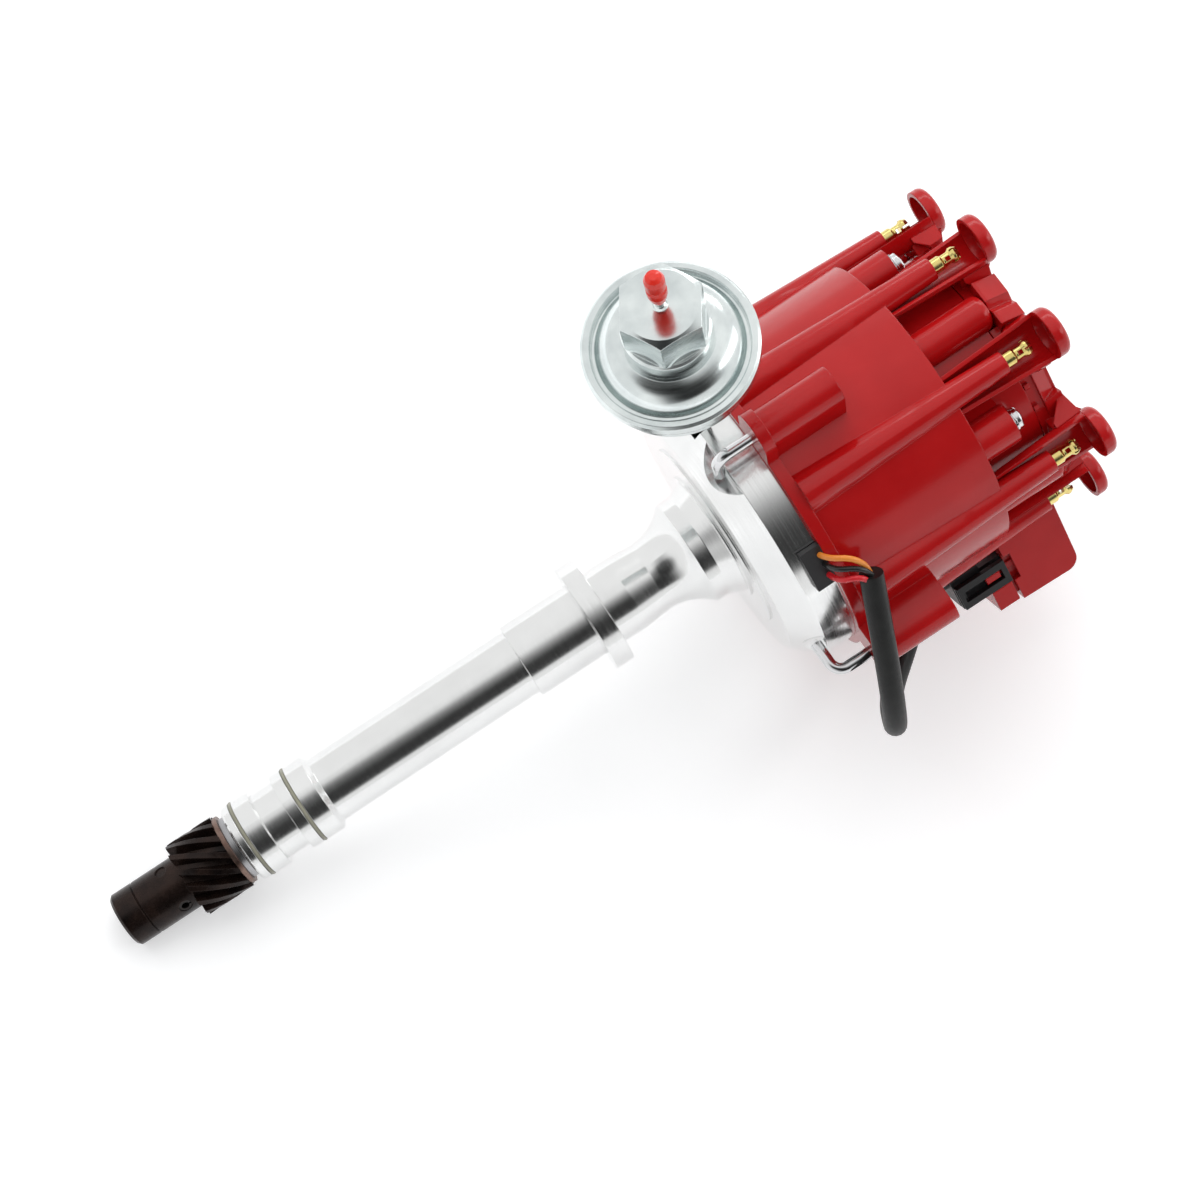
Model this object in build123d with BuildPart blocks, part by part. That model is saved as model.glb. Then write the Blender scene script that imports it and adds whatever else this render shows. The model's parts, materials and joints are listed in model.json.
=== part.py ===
"""Ignition distributor for a V8 engine: billet housing, in-cap coil, vacuum can and helical drive gear.

Millimetres. +Z runs along the shaft towards the cap. The origin is the centre of the hold-down
collar's underside, and +X points from the shaft towards the vacuum can.
"""

import os
from math import atan, cos, degrees, radians, sin, sqrt, tan

from build123d import *

os.makedirs("parts", exist_ok=True)

# ---------------------------------------------------------------- driving dimensions
# clearances
running_gap = 0.05  # radial, a shaft in its bush
seat_gap = 0.02  # radial, pieces pressed or moulded together
face_gap = 0.3  # between faces of pieces that move past each other

# shaft and bushes
shaft_d = 12.7
bush_wall = 1.9
bush_length = 26.0
shaft_top_z = 89.6
shaft_end_z = -184.6

# housing tube, from the bottom up
tube_bottom_z = -144.3
tube_d = 25.1
band_d = 29.7
band_chamfer = 0.9
recess_d = 25.7
band_1_top_z = -133.0
band_2_bottom_z = -123.7
band_2_top_z = -110.1
o_ring_groove_z = (-140.3, -118.7)
o_ring_groove_width = 1.5
o_ring_groove_depth = 1.3
step_z = -27.4
sleeve_d = 28.4
collar_d = 41.5
collar_height = 7.0
neck_d = 28.4
waist_d = 26.6
waist_z = 27.0
flare_top_z = 42.8
hub_d = 40.6
hub_top_z = 48.0
oil_way_d = 15.2

# bowl of the housing
bowl_d = 114.0
bowl_rim_z = 76.3
bowl_wall = 4.5
bowl_side_z = 64.5
underside_z = 55.0
underside_d = 96.6
underside_step = 0.7
underside_step_d = (72.2, 46.0)
bowl_floor_z = 59.5
bowl_floor_d = 90.0
bowl_ledge_z = 66.5
bowl_ledge_d = 98.0
boss_d = 28.0
boss_top_z = 78.0
shoulder_d = 36.0
shoulder_z = 67.7

# drive gear and what stacks above it
gear_teeth = 13
gear_od = 28.6
gear_root_d = 21.4
gear_bottom_z = -166.8
gear_top_z = -148.5
gear_helix = 33.0
gear_levels = 6
gear_hub_d = 20.5
gear_hub_end_z = -193.0
gear_groove_z = -184.2
dimple_z = -172.5
dimple_angle = -31.2
roll_pin_d = 4.8
roll_pin_z = -171.4
roll_pin_angle = 62.3
drive_slot_width = 5.0
drive_slot_length = 14.0
drive_slot_depth = 7.6
washer_d = 26.8
washer_thickness = 1.7

# cap
cap_rim_top_z = 80.6
cap_flange_d = 120.0
cap_wall_d = 114.6
cap_wall_top_z = 141.2
panel_thickness = 2.5
deck_z = 136.0
cavity_d = 102.0
cavity_top_z = 112.0
partition_top_z = 118.0
coil_room_d = 83.0
coil_room_top_z = 166.7
coil_room_wall = 2.5
tower_circle_r = 55.0
tower_top_z = 162.5
tower_top_d = 8.3
tower_base_d = 15.0
tower_count = 8
first_tower_angle = 22.5
post_circle_r = 49.6
post_d = 14.8
post_top_z = 155.4
column_circle_r = 45.3
column_d = 13.4
column_top_z = 170.0
column_top_round = 3.0
post_rib_width = 1.4
latch_circle_r = 66.8
latch_post_d = 14.4
latch_post_top_z = 108.5
latch_ear_d = 17.2
latch_count = 4

# cap terminals
terminal_d = 4.4
terminal_head_d = 5.6
terminal_top_z = 173.0
electrode_z = 100.0
electrode_height = 6.0

# wire retainer
hood_d = 18.4
hood_rim_z = 179.2
hood_hollow_z = 182.5
hood_top_z = 184.4
hood_round = 2.7
hood_wall = 1.6
channel_foot_d = 14.6
channel_wall = 1.5
channel_bottom_z = 138.0
channel_face_r = 53.6
web_width = 11.0
crown_d = 88.0
crown_top_z = 178.2
crown_bottom_z = 167.0
crown_hollow_z = 174.5
nose_width = 18.0
nose_top_z = 180.0
nose_vee = 3.4
nose_vee_turn = 1.8
channel_lip_z = 169.5
web_root_width = 26.0

# coil connector on the cap's side
connector_angle = 135.0
connector_width = 26.0
connector_lip = 1.0
connector_bottom_z = 141.0
connector_top_z = 166.0
connector_round = 5.0
ramp_depth = 8.3
ramp_z = (131.3, 139.8)
plug_depth = 13.0
plug_wall_gap = 5.9
plug_ramp_gap = 0.5
plug_nose_offset = 1.7
plug_neck_offset = 3.4
loop_offset = 1.95
plug_body_top_z = 131.5
tongue_bottom_z = 131.5
tongue_top_z = 137.3

# latches
latch_rod_d = 4.2
latch_foot_z = 62.0
latch_foot_reach = 13.0
latch_bend_r = 4.6
latch_head_d = 8.8
latch_head_z = 102.5
latch_head_height = 3.2
latch_well_d = 10.2
latch_well_z = 97.0

# vacuum can, its axis parallel to X
can_y = -22.5
can_z = 64.4
can_d = 57.2
can_front_x = 120.3
can_back_x = 104.0
can_wall = 1.2
can_lip_inner_d = 51.0
nose_base_x = 127.0
nose_base_d = 28.8
hex_base_x = 135.0
hex_height = 16.3
hex_flats = 25.0
hex_turn = -33.0
nipple_d = 2.9
nipple_length = 18.0
nipple_cap_d = 6.5
nipple_cap_start = 3.3
nipple_cap_length = 17.4
vacuum_rod_d = 3.0
bracket_thickness = 1.6
bracket_width = 13.0
bracket_z = 67.3
bracket_screw_d = 4.0
bracket_screw_y = 6.0
bracket_screw_edge = 3.4

# advance mechanism
advance_angle = 11.0
vacuum_angle = 8.0
core_skirt_gap = 0.6
core_skirt_wall = 2.4
reluctor_tooth = 2.2
reluctor_poles = 8
pole_gap = 0.4
core_base_z = 78.4
weight_base_z = 84.0
weight_base_thickness = 1.6
weight_base_d = 66.0
weight_pin_r = 24.0
weight_pin_d = 4.0
cam_z = 86.2
cam_height = 2.8
weight_height = 3.4

# pickup
pickup_z = 68.0
pickup_plate_thickness = 1.6
pickup_d = bowl_d - 44.0
pole_piece_z = 75.4
pole_piece_thickness = 1.6

# rotor
rotor_d = 74.0
blade_overhang = 3.4
spark_gap = 0.8
rotor_z = 95.0
rotor_thickness = 4.0
rotor_blade_z = 101.0
brush_d = 6.0
brush_top_z = 114.6

# harness
grommet_angle = 46.0
grommet_width = 15.5
grommet_bottom_z = 68.6
wire_d = 2.1
sleeve_tube_d = 8.5


def around(radius, angle, z=0.0):
    """The point at this radius, azimuth in degrees and height."""
    return (radius * cos(radians(angle)), radius * sin(radians(angle)), z)


def radial_plane(angle, z=0.0):
    """A level plane with its x axis along the azimuth."""
    return Plane(origin=(0, 0, z), x_dir=around(1, angle), z_dir=(0, 0, 1))


def cord_radii(points):
    """The largest arc for each corner of a cord: 0.45 of the shorter run over the tangent of half the turn."""
    radii = []
    for before, corner, after in zip(points, points[1:], points[2:]):
        arriving = Vector(*corner) - Vector(*before)
        leaving = Vector(*after) - Vector(*corner)
        half_turn = radians(arriving.get_angle(leaving)) / 2
        shorter = min(arriving.length, leaving.length)
        radii.append(0.45 * shorter / tan(half_turn))
    return radii


tower_angles = [first_tower_angle + 360 / tower_count * i for i in range(tower_count)]
latch_angles = [360 / latch_count * i for i in range(latch_count)]
post_angles = [45 + 90 * i for i in range(4)]
bush_d = shaft_d + 2 * running_gap + 2 * bush_wall
shaft_hole_d = shaft_d + 2 * running_gap
upper_bush_z = boss_top_z - bush_length
bowl_inner_d = bowl_d - 2 * bowl_wall
latch_sweep_d = 2 * (latch_foot_reach + latch_rod_d / 2 + 0.7)
wall_slot_start_x = sqrt((bowl_floor_d / 2) ** 2 - can_y**2) + 1.4
wall_slot_end_x = bowl_d / 2 + 2
bracket_start_x = sqrt((pickup_d / 2 + 1.3) ** 2 - (abs(can_y) - bracket_width / 2) ** 2)
bracket_screw_x = bracket_start_x + bracket_screw_edge
bracket_screw_places = [(bracket_screw_x, can_y + side * bracket_screw_y) for side in (1, -1)]
hex_top_x = hex_base_x + hex_height
nipple_cap_x = hex_top_x + nipple_cap_start
nipple_cap_end_x = nipple_cap_x + nipple_cap_length
electrode_r = rotor_d / 2 + blade_overhang + spark_gap
plug_r = cap_wall_d / 2 + plug_wall_gap + plug_depth / 2
ramp_start_r = plug_r + plug_depth / 2 + plug_ramp_gap
ramp_r = (ramp_start_r, ramp_start_r + ramp_depth)
connector_reach = ramp_r[1] + connector_lip
reluctor_d = boss_d + 2 * (core_skirt_gap + core_skirt_wall + reluctor_tooth)

# ---------------------------------------------------------------- housing
with BuildPart() as housing:
    with BuildSketch(Plane.XZ):
        with BuildLine():
            Polyline(
                (0, tube_bottom_z),
                (band_d / 2 - band_chamfer, tube_bottom_z),
                (band_d / 2, tube_bottom_z + band_chamfer),
                (band_d / 2, band_1_top_z),
                (recess_d / 2, band_1_top_z),
                (recess_d / 2, band_2_bottom_z),
                (band_d / 2, band_2_bottom_z),
                (band_d / 2, band_2_top_z - band_chamfer),
                (tube_d / 2, band_2_top_z + band_chamfer),
                (tube_d / 2, step_z),
                (sleeve_d / 2, step_z),
                (sleeve_d / 2, 0),
                (collar_d / 2, 0),
                (collar_d / 2, collar_height),
                (neck_d / 2, collar_height),
                (neck_d / 2, waist_z - 10),
                (waist_d / 2, waist_z),
            )
            ThreePointArc(
                (waist_d / 2, waist_z),
                (waist_d / 2 + 1.6, waist_z + 8.4),
                (hub_d / 2, flare_top_z),
            )
            Polyline(
                (hub_d / 2, flare_top_z),
                (hub_d / 2, hub_top_z),
                (underside_step_d[1] / 2, underside_z - 2 * underside_step),
                (underside_step_d[1] / 2 + 2, underside_z - 2 * underside_step),
                (underside_step_d[1] / 2 + 2, underside_z - underside_step),
                (underside_step_d[0] / 2, underside_z - underside_step),
                (underside_step_d[0] / 2, underside_z),
                (underside_d / 2, underside_z),
                (bowl_d / 2, bowl_side_z),
                (bowl_d / 2, bowl_rim_z),
                (boss_d / 2, bowl_rim_z),
                (boss_d / 2, boss_top_z),
                (0, boss_top_z),
                (0, tube_bottom_z),
            )
        make_face()
    revolve(axis=Axis.Z)
    # the bowl's inside, around the bush boss and its shoulder
    with BuildSketch(Plane.XZ):
        with BuildLine():
            Polyline(
                (boss_d / 2, bowl_rim_z + 2),
                (boss_d / 2, shoulder_z),
                (shoulder_d / 2, shoulder_z),
                (shoulder_d / 2, bowl_floor_z),
                (bowl_floor_d / 2, bowl_floor_z),
                (bowl_ledge_d / 2, bowl_ledge_z),
                (bowl_inner_d / 2, bowl_ledge_z),
                (bowl_inner_d / 2, bowl_rim_z + 2),
                close=True,
            )
        make_face()
    revolve(axis=Axis.Z, mode=Mode.SUBTRACT)
    # shaft bore, wider between the bushes, and the bush pockets
    with BuildSketch(Plane.XY.offset(tube_bottom_z)):
        Circle(oil_way_d / 2)
    extrude(amount=boss_top_z - tube_bottom_z, mode=Mode.SUBTRACT)
    for pocket_z in (tube_bottom_z, upper_bush_z):
        with BuildSketch(Plane.XY.offset(pocket_z)):
            Circle(bush_d / 2 + seat_gap)
        extrude(amount=bush_length, mode=Mode.SUBTRACT)
    # grooves of the two o-rings, and of the pickup's retaining clip on the boss
    for groove_z in o_ring_groove_z:
        with BuildSketch(Plane.XY.offset(groove_z - o_ring_groove_width / 2)):
            Circle(band_d / 2 + 1)
            Circle(band_d / 2 - o_ring_groove_depth, mode=Mode.SUBTRACT)
        extrude(amount=o_ring_groove_width, mode=Mode.SUBTRACT)
    with BuildSketch(Plane.XY.offset(pickup_z + pickup_plate_thickness + 0.2)):
        Circle(boss_d / 2 + 1)
        Circle(boss_d / 2 - 0.8, mode=Mode.SUBTRACT)
    extrude(amount=1.2, mode=Mode.SUBTRACT)
    # milled pockets that leave room for the latch hooks to turn
    with BuildSketch(Plane.XY.offset(underside_z - 2)):
        with PolarLocations(latch_circle_r, latch_count):
            Circle(latch_sweep_d / 2)
    extrude(amount=bowl_side_z - underside_z + 2, mode=Mode.SUBTRACT)
    # slot in the wall for the vacuum bracket and rod, and the two bosses that the bracket sits on
    with BuildSketch(Plane.XY.offset(can_z - vacuum_rod_d / 2 - 0.7)):
        with Locations(((wall_slot_start_x + wall_slot_end_x) / 2, can_y)):
            Rectangle(wall_slot_end_x - wall_slot_start_x, bracket_width + 1)
    extrude(amount=bracket_z + bracket_thickness + 0.4 - can_z + vacuum_rod_d / 2 + 0.7, mode=Mode.SUBTRACT)
    with BuildSketch(Plane.XY.offset(bowl_floor_z)):
        with Locations(*bracket_screw_places):
            Circle(3.1)
    extrude(amount=bracket_z - bowl_floor_z)
    with BuildSketch(Plane.XY.offset(bowl_floor_z + 1)):
        with Locations(*bracket_screw_places):
            Circle(bracket_screw_d / 2)
    extrude(amount=bracket_z, mode=Mode.SUBTRACT)
    # open notch in the rim for the wire grommet
    with BuildSketch(radial_plane(grommet_angle, grommet_bottom_z + 0.8)):
        with Locations((bowl_d / 2 - bowl_wall / 2, 0)):
            Rectangle(bowl_wall + 6, grommet_width - 2.4)
    extrude(amount=bowl_rim_z - grommet_bottom_z, mode=Mode.SUBTRACT)
housing.part.label = "housing"
export_step(housing.part, "parts/housing.step")

# ---------------------------------------------------------------- bushes, o-rings, clip
for bush_name, bush_z in (("lower_bushing", tube_bottom_z), ("upper_bushing", upper_bush_z)):
    with BuildPart() as bushing:
        with BuildSketch(Plane.XY.offset(bush_z)):
            Circle(bush_d / 2)
            Circle(shaft_hole_d / 2, mode=Mode.SUBTRACT)
        extrude(amount=bush_length)
    bushing.part.label = bush_name
    export_step(bushing.part, f"parts/{bush_name}.step")

o_ring_section = o_ring_groove_width - 0.1
with BuildPart() as o_rings:
    for groove_z in o_ring_groove_z:
        with BuildSketch(Plane.XZ):
            with Locations((band_d / 2 - o_ring_groove_depth + o_ring_section / 2 + seat_gap, groove_z)):
                Circle(o_ring_section / 2)
        revolve(axis=Axis.Z)
o_rings.part.label = "o_rings"
export_step(o_rings.part, "parts/o_rings.step")

with BuildPart() as pickup_clip:
    with BuildSketch(Plane.XY.offset(pickup_z + pickup_plate_thickness + 0.3)):
        Circle(boss_d / 2 + 2)
        Circle(boss_d / 2 - 0.8 + seat_gap, mode=Mode.SUBTRACT)
        with Locations((boss_d / 2, 0)):
            Rectangle(8, 5, mode=Mode.SUBTRACT)
    extrude(amount=0.9)
pickup_clip.part.label = "pickup_clip"
export_step(pickup_clip.part, "parts/pickup_clip.step")

# ---------------------------------------------------------------- shaft, gear, pin, washer, shims
with BuildPart() as main_shaft:
    with BuildSketch(Plane.XY.offset(shaft_end_z)):
        Circle(shaft_d / 2)
    extrude(amount=shaft_top_z - shaft_end_z)
    chamfer(main_shaft.faces().sort_by(Axis.Z)[-1].edges(), 0.8)
    with BuildSketch(Plane(origin=(0, 0, roll_pin_z), x_dir=(0, 0, 1), z_dir=around(1, roll_pin_angle))):
        Circle(roll_pin_d / 2 + seat_gap)
    extrude(amount=shaft_d, both=True, mode=Mode.SUBTRACT)
main_shaft.part.label = "main_shaft"
export_step(main_shaft.part, "parts/main_shaft.step")

gear_turn = degrees((gear_top_z - gear_bottom_z) * tan(radians(gear_helix)) / (gear_od / 2))
tooth_pitch = 360 / gear_teeth
tip_half = 0.17 * tooth_pitch
root_half = 0.30 * tooth_pitch
with BuildPart() as drive_gear:
    # the toothed part: one outline on several levels, each turned a little further
    for level in range(gear_levels):
        share = level / (gear_levels - 1)
        level_z = gear_bottom_z + share * (gear_top_z - gear_bottom_z)
        with BuildSketch(Plane.XY.offset(level_z)):
            outline = []
            for tooth in range(gear_teeth):
                middle = tooth * tooth_pitch + share * gear_turn
                outline.append(around(gear_root_d / 2, middle - root_half)[:2])
                outline.append(around(gear_od / 2, middle - tip_half)[:2])
                outline.append(around(gear_od / 2, middle + tip_half)[:2])
                outline.append(around(gear_root_d / 2, middle + root_half)[:2])
            Polygon(*outline, align=None)
    loft(ruled=True)
    with BuildSketch(Plane.XZ):
        with BuildLine():
            Polyline(
                (0, gear_hub_end_z),
                (gear_hub_d / 2 - 1.0, gear_hub_end_z),
                (gear_hub_d / 2, gear_hub_end_z + 1.0),
                (gear_hub_d / 2, gear_groove_z - 0.4),
                (gear_hub_d / 2 - 0.5, gear_groove_z),
                (gear_hub_d / 2, gear_groove_z + 0.4),
                (gear_hub_d / 2, gear_bottom_z + 0.5),
                (0, gear_bottom_z + 0.5),
                close=True,
            )
        make_face()
    revolve(axis=Axis.Z)
    # shaft bore, closed below by the web that holds the oil pump's slot
    with BuildSketch(Plane.XY.offset(shaft_end_z - 0.1)):
        Circle(shaft_d / 2 + seat_gap)
    extrude(amount=gear_top_z - shaft_end_z + 1, mode=Mode.SUBTRACT)
    with BuildSketch(Plane.XY.offset(gear_hub_end_z)):
        SlotOverall(drive_slot_length, drive_slot_width)
    extrude(amount=drive_slot_depth, mode=Mode.SUBTRACT)
    # roll pin hole and the alignment dimple
    with BuildSketch(Plane(origin=(0, 0, roll_pin_z), x_dir=(0, 0, 1), z_dir=around(1, roll_pin_angle))):
        Circle(roll_pin_d / 2 + seat_gap)
    extrude(amount=gear_hub_d, both=True, mode=Mode.SUBTRACT)
    with BuildSketch(
        Plane(
            origin=around(gear_hub_d / 2 - 0.6, dimple_angle, dimple_z),
            x_dir=(0, 0, 1),
            z_dir=around(1, dimple_angle),
        )
    ):
        Circle(2.2)
    extrude(amount=3, mode=Mode.SUBTRACT)
drive_gear.part.label = "drive_gear"
export_step(drive_gear.part, "parts/drive_gear.step")

with BuildPart() as gear_roll_pin:
    with BuildSketch(Plane(origin=(0, 0, roll_pin_z), x_dir=(0, 0, 1), z_dir=around(1, roll_pin_angle))):
        Circle(roll_pin_d / 2)
        Circle(roll_pin_d / 2 - 1.0, mode=Mode.SUBTRACT)
        with Locations((roll_pin_d / 2 - 0.5, 0)):
            Rectangle(2, 0.7, mode=Mode.SUBTRACT)
    extrude(amount=gear_hub_d / 2 - 0.4, both=True)
gear_roll_pin.part.label = "gear_roll_pin"
export_step(gear_roll_pin.part, "parts/gear_roll_pin.step")

with BuildPart() as thrust_washer:
    with BuildSketch(Plane.XY.offset(gear_top_z)):
        Circle(washer_d / 2)
        Circle(shaft_hole_d / 2, mode=Mode.SUBTRACT)
    extrude(amount=washer_thickness)
thrust_washer.part.label = "thrust_washer"
export_step(thrust_washer.part, "parts/thrust_washer.step")

shim_stack = tube_bottom_z - gear_top_z - washer_thickness - face_gap
with BuildPart() as shims:
    for shim in range(3):
        with BuildSketch(Plane.XY.offset(gear_top_z + washer_thickness + shim * shim_stack / 3)):
            Circle(washer_d / 2 - 1.5)
            Circle(shaft_hole_d / 2, mode=Mode.SUBTRACT)
        extrude(amount=shim_stack / 3 - seat_gap)
shims.part.label = "shims"
export_step(shims.part, "parts/shims.step")

# ---------------------------------------------------------------- centrifugal advance
with BuildPart() as advance_cam:
    # a lozenge fixed on the shaft's end, with two ears for the springs
    with BuildSketch(Plane.XY.offset(cam_z)):
        Ellipse(11.5, 8.6)
        with Locations((0, 0)):
            Rectangle(5, 32)
        Circle(shaft_d / 2 + seat_gap, mode=Mode.SUBTRACT)
    extrude(amount=cam_height)
    with BuildSketch(Plane.XY.offset(cam_z + cam_height)):
        with Locations((0, 14), (0, -14)):
            Circle(1.2)
    extrude(amount=3.0)
advance_cam.part.label = "advance_cam"
export_step(advance_cam.part, "parts/advance_cam.step")

with BuildPart() as timer_core:
    # flange and hub that turn on the shaft
    with BuildSketch(Plane.XY.offset(core_base_z)):
        Circle(reluctor_d / 2 - reluctor_tooth)
        Circle(shaft_hole_d / 2, mode=Mode.SUBTRACT)
    extrude(amount=2)
    with BuildSketch(Plane.XY.offset(core_base_z)):
        Circle(10)
        Circle(shaft_hole_d / 2, mode=Mode.SUBTRACT)
    extrude(amount=weight_base_z - core_base_z)
    # toothed skirt around the bush boss
    with BuildSketch(Plane.XY.offset(core_base_z - 6.4)):
        Circle(reluctor_d / 2 - reluctor_tooth)
        with PolarLocations(reluctor_d / 2 - reluctor_tooth, reluctor_poles):
            Rectangle(4.4, 2.6)
        Circle(boss_d / 2 + core_skirt_gap, mode=Mode.SUBTRACT)
    extrude(amount=6.4)
timer_core.part.label = "timer_core"
export_step(timer_core.part, "parts/timer_core.step")

weight_pins = [around(weight_pin_r, 0), around(weight_pin_r, 180)]
rotor_leg_r = 26.0
with BuildPart() as weight_base:
    with BuildSketch(Plane.XY.offset(weight_base_z)):
        Circle(weight_base_d / 2)
        with Locations((0, weight_base_d / 2 + 6), (0, -weight_base_d / 2 - 6)):
            Rectangle(80, 24, mode=Mode.SUBTRACT)
        with Locations((0, 0)):
            Rectangle(22, weight_base_d)
            Circle(weight_base_d / 2 + 0.1, mode=Mode.INTERSECT)
        Circle(shaft_hole_d / 2, mode=Mode.SUBTRACT)
        with Locations((0, rotor_leg_r), (0, -rotor_leg_r)):
            Circle(1.6, mode=Mode.SUBTRACT)
    extrude(amount=weight_base_thickness)
    # pivot pins of the weights and anchors of the springs
    with BuildSketch(Plane.XY.offset(weight_base_z + weight_base_thickness)):
        with Locations(weight_pins[0][:2], weight_pins[1][:2]):
            Circle(weight_pin_d / 2)
    extrude(amount=cam_z - weight_base_z - weight_base_thickness + weight_height + 1.4)
weight_base.part.label = "weight_base"
export_step(weight_base.part, "parts/weight_base.step")

for weight_name, side in (("weight_a", 1), ("weight_b", -1)):
    with BuildPart() as weight:
        # a curved arm from its pin, resting against the cam's flank
        with BuildSketch(Plane.XY.offset(cam_z)):
            with Locations((side * weight_pin_r, 0)):
                Circle(4.6)
            with BuildLine():
                Polyline(
                    (side * (weight_pin_r + 4.4), 0),
                    (side * (weight_pin_r + 3.2), side * 10),
                    (side * (weight_pin_r - 6), side * 17.5),
                    (side * (weight_pin_r - 19), side * 18.5),
                    (side * (weight_pin_r - 19), side * 17.0 - side * 0.4),
                    (side * (weight_pin_r - 13), side * 11.5),
                    (side * (weight_pin_r - 7.5), side * 6),
                    (side * (weight_pin_r - 4.4), 0),
                    close=True,
                )
            make_face()
            with Locations((side * weight_pin_r, 0)):
                Circle(weight_pin_d / 2 + running_gap, mode=Mode.SUBTRACT)
        extrude(amount=weight_height)
    weight.part.label = weight_name
    export_step(weight.part, f"parts/{weight_name}.step")


spring_z = cam_z + weight_height + 1.9
spring_coil_d = 2.6
spring_wire = 0.5
cam_ear_y = 14.0
spring_way = Vector(-weight_pin_r, cam_ear_y, 0).normalized()
spring_span = sqrt(weight_pin_r**2 + cam_ear_y**2)
spring_hook = 6.0
with BuildPart() as advance_springs:
    for side in (1, -1):
        way = spring_way * side
        coil_start = Vector(side * weight_pin_r, 0, spring_z) + way * spring_hook
        coil_length = spring_span - 2 * spring_hook
        with BuildLine() as coil_path:
            Helix(coil_length / 5, coil_length, spring_coil_d / 2, center=coil_start, direction=way)
        with BuildSketch(Plane(origin=coil_path.line @ 0, z_dir=coil_path.line % 0)):
            Rectangle(spring_wire, spring_wire)
        sweep(path=coil_path.line, is_frenet=True)
        # end discs, and the straight ends that reach to the pins
        for plate, reach in ((coil_start, 2.6 - spring_hook), (coil_start + way * coil_length, spring_hook - 1.6)):
            with BuildSketch(Plane(origin=plate, z_dir=way)):
                Circle(spring_coil_d / 2 + spring_wire / 2)
            extrude(amount=spring_wire, both=True)
            with BuildSketch(Plane(origin=plate, z_dir=way)):
                Circle(spring_wire / 2)
            extrude(amount=reach)
advance_springs.part.label = "advance_springs"
export_step(advance_springs.part, "parts/advance_springs.step")

# ---------------------------------------------------------------- pickup
rod_pin_angle = -90 - vacuum_angle / 2
rod_pin_r = -can_y / cos(radians(vacuum_angle / 2))
rod_pin_x = rod_pin_r * cos(radians(rod_pin_angle))
with BuildPart() as pickup_plate:
    with BuildSketch(Plane.XY.offset(pickup_z)):
        Circle(pickup_d / 2)
        Circle(boss_d / 2 + running_gap, mode=Mode.SUBTRACT)
    extrude(amount=pickup_plate_thickness)
    with BuildSketch(Plane.XY.offset(can_z - 1.5)):
        with Locations((rod_pin_x, can_y)):
            Circle(1.4)
    extrude(amount=pickup_z - can_z + 1.5)
pickup_plate.part.label = "pickup_plate"
export_step(pickup_plate.part, "parts/pickup_plate.step")

pickup_seat_z = pickup_z + pickup_plate_thickness
with BuildPart() as pickup_magnet:
    with BuildSketch(Plane.XY.offset(pickup_seat_z)):
        Circle(pickup_d / 2)
        Circle(pickup_d / 2 - 4.5, mode=Mode.SUBTRACT)
    extrude(amount=pole_piece_z - pickup_seat_z)
pickup_magnet.part.label = "pickup_magnet"
export_step(pickup_magnet.part, "parts/pickup_magnet.step")

with BuildPart() as pickup_coil:
    with BuildSketch(Plane.XZ):
        with Locations(((reluctor_d / 2 + 2.6 + pickup_d / 2 - 5.5) / 2, (pickup_seat_z + pole_piece_z) / 2)):
            Rectangle(pickup_d / 2 - 5.5 - reluctor_d / 2 - 2.6, pole_piece_z - pickup_seat_z)
        with Locations((pickup_d / 2 - 5.5, (pickup_seat_z + pole_piece_z) / 2)):
            Rectangle(2.4, pole_piece_z - pickup_seat_z - 1.6, mode=Mode.SUBTRACT)
    revolve(axis=Axis.Z)
pickup_coil.part.label = "pickup_coil"
export_step(pickup_coil.part, "parts/pickup_coil.step")

with BuildPart() as pole_piece:
    with BuildSketch(Plane.XY.offset(pole_piece_z)):
        Circle(pickup_d / 2)
        Circle(reluctor_d / 2 + 2.6, mode=Mode.SUBTRACT)
        with PolarLocations(reluctor_d / 2 + 2.2, reluctor_poles):
            Rectangle(3.6, 2.6)
        Circle(reluctor_d / 2 + pole_gap, mode=Mode.SUBTRACT)
    extrude(amount=pole_piece_thickness)
pole_piece.part.label = "pole_piece"
export_step(pole_piece.part, "parts/pole_piece.step")

# ---------------------------------------------------------------- ignition module and capacitor
module_y = 31.0
module_size = (44.0, 16.0, 7.6)
with BuildPart() as ignition_module:
    with BuildSketch(Plane.XY.offset(bowl_floor_z)):
        with Locations((0, module_y)):
            RectangleRounded(module_size[0], module_size[1], 2)
        with GridLocations(36, 0, 2, 1):
            with Locations((0, module_y)):
                Circle(1.7, mode=Mode.SUBTRACT)
    extrude(amount=module_size[2] - 1.6)
    with BuildSketch(Plane.XY.offset(bowl_floor_z + module_size[2] - 1.6)):
        with Locations((0, module_y)):
            RectangleRounded(28, 12, 1.5)
    extrude(amount=1.6)
ignition_module.part.label = "ignition_module"
export_step(ignition_module.part, "parts/ignition_module.step")

with BuildPart() as module_screws:
    with BuildSketch(Plane.XY.offset(bowl_floor_z)):
        with Locations((-18, module_y), (18, module_y)):
            Circle(1.6)
    extrude(amount=module_size[2] - 1.6)
    with BuildSketch(Plane.XY.offset(bowl_floor_z + module_size[2] - 1.6)):
        with Locations((-18, module_y), (18, module_y)):
            Circle(2.9)
    extrude(amount=1.6)
module_screws.part.label = "module_screws"
export_step(module_screws.part, "parts/module_screws.step")

capacitor_d = 8.0
with BuildPart() as capacitor:
    with BuildSketch(Plane(origin=(-36, -10, bowl_floor_z + capacitor_d / 2), x_dir=(1, 0, 0), z_dir=(0, 1, 0))):
        Circle(capacitor_d / 2)
    extrude(amount=20)
    with BuildSketch(Plane.XY.offset(bowl_floor_z)):
        with Locations((-36, 0)):
            Rectangle(5, 20)
    extrude(amount=capacitor_d / 2)
capacitor.part.label = "capacitor"
export_step(capacitor.part, "parts/capacitor.step")

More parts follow.
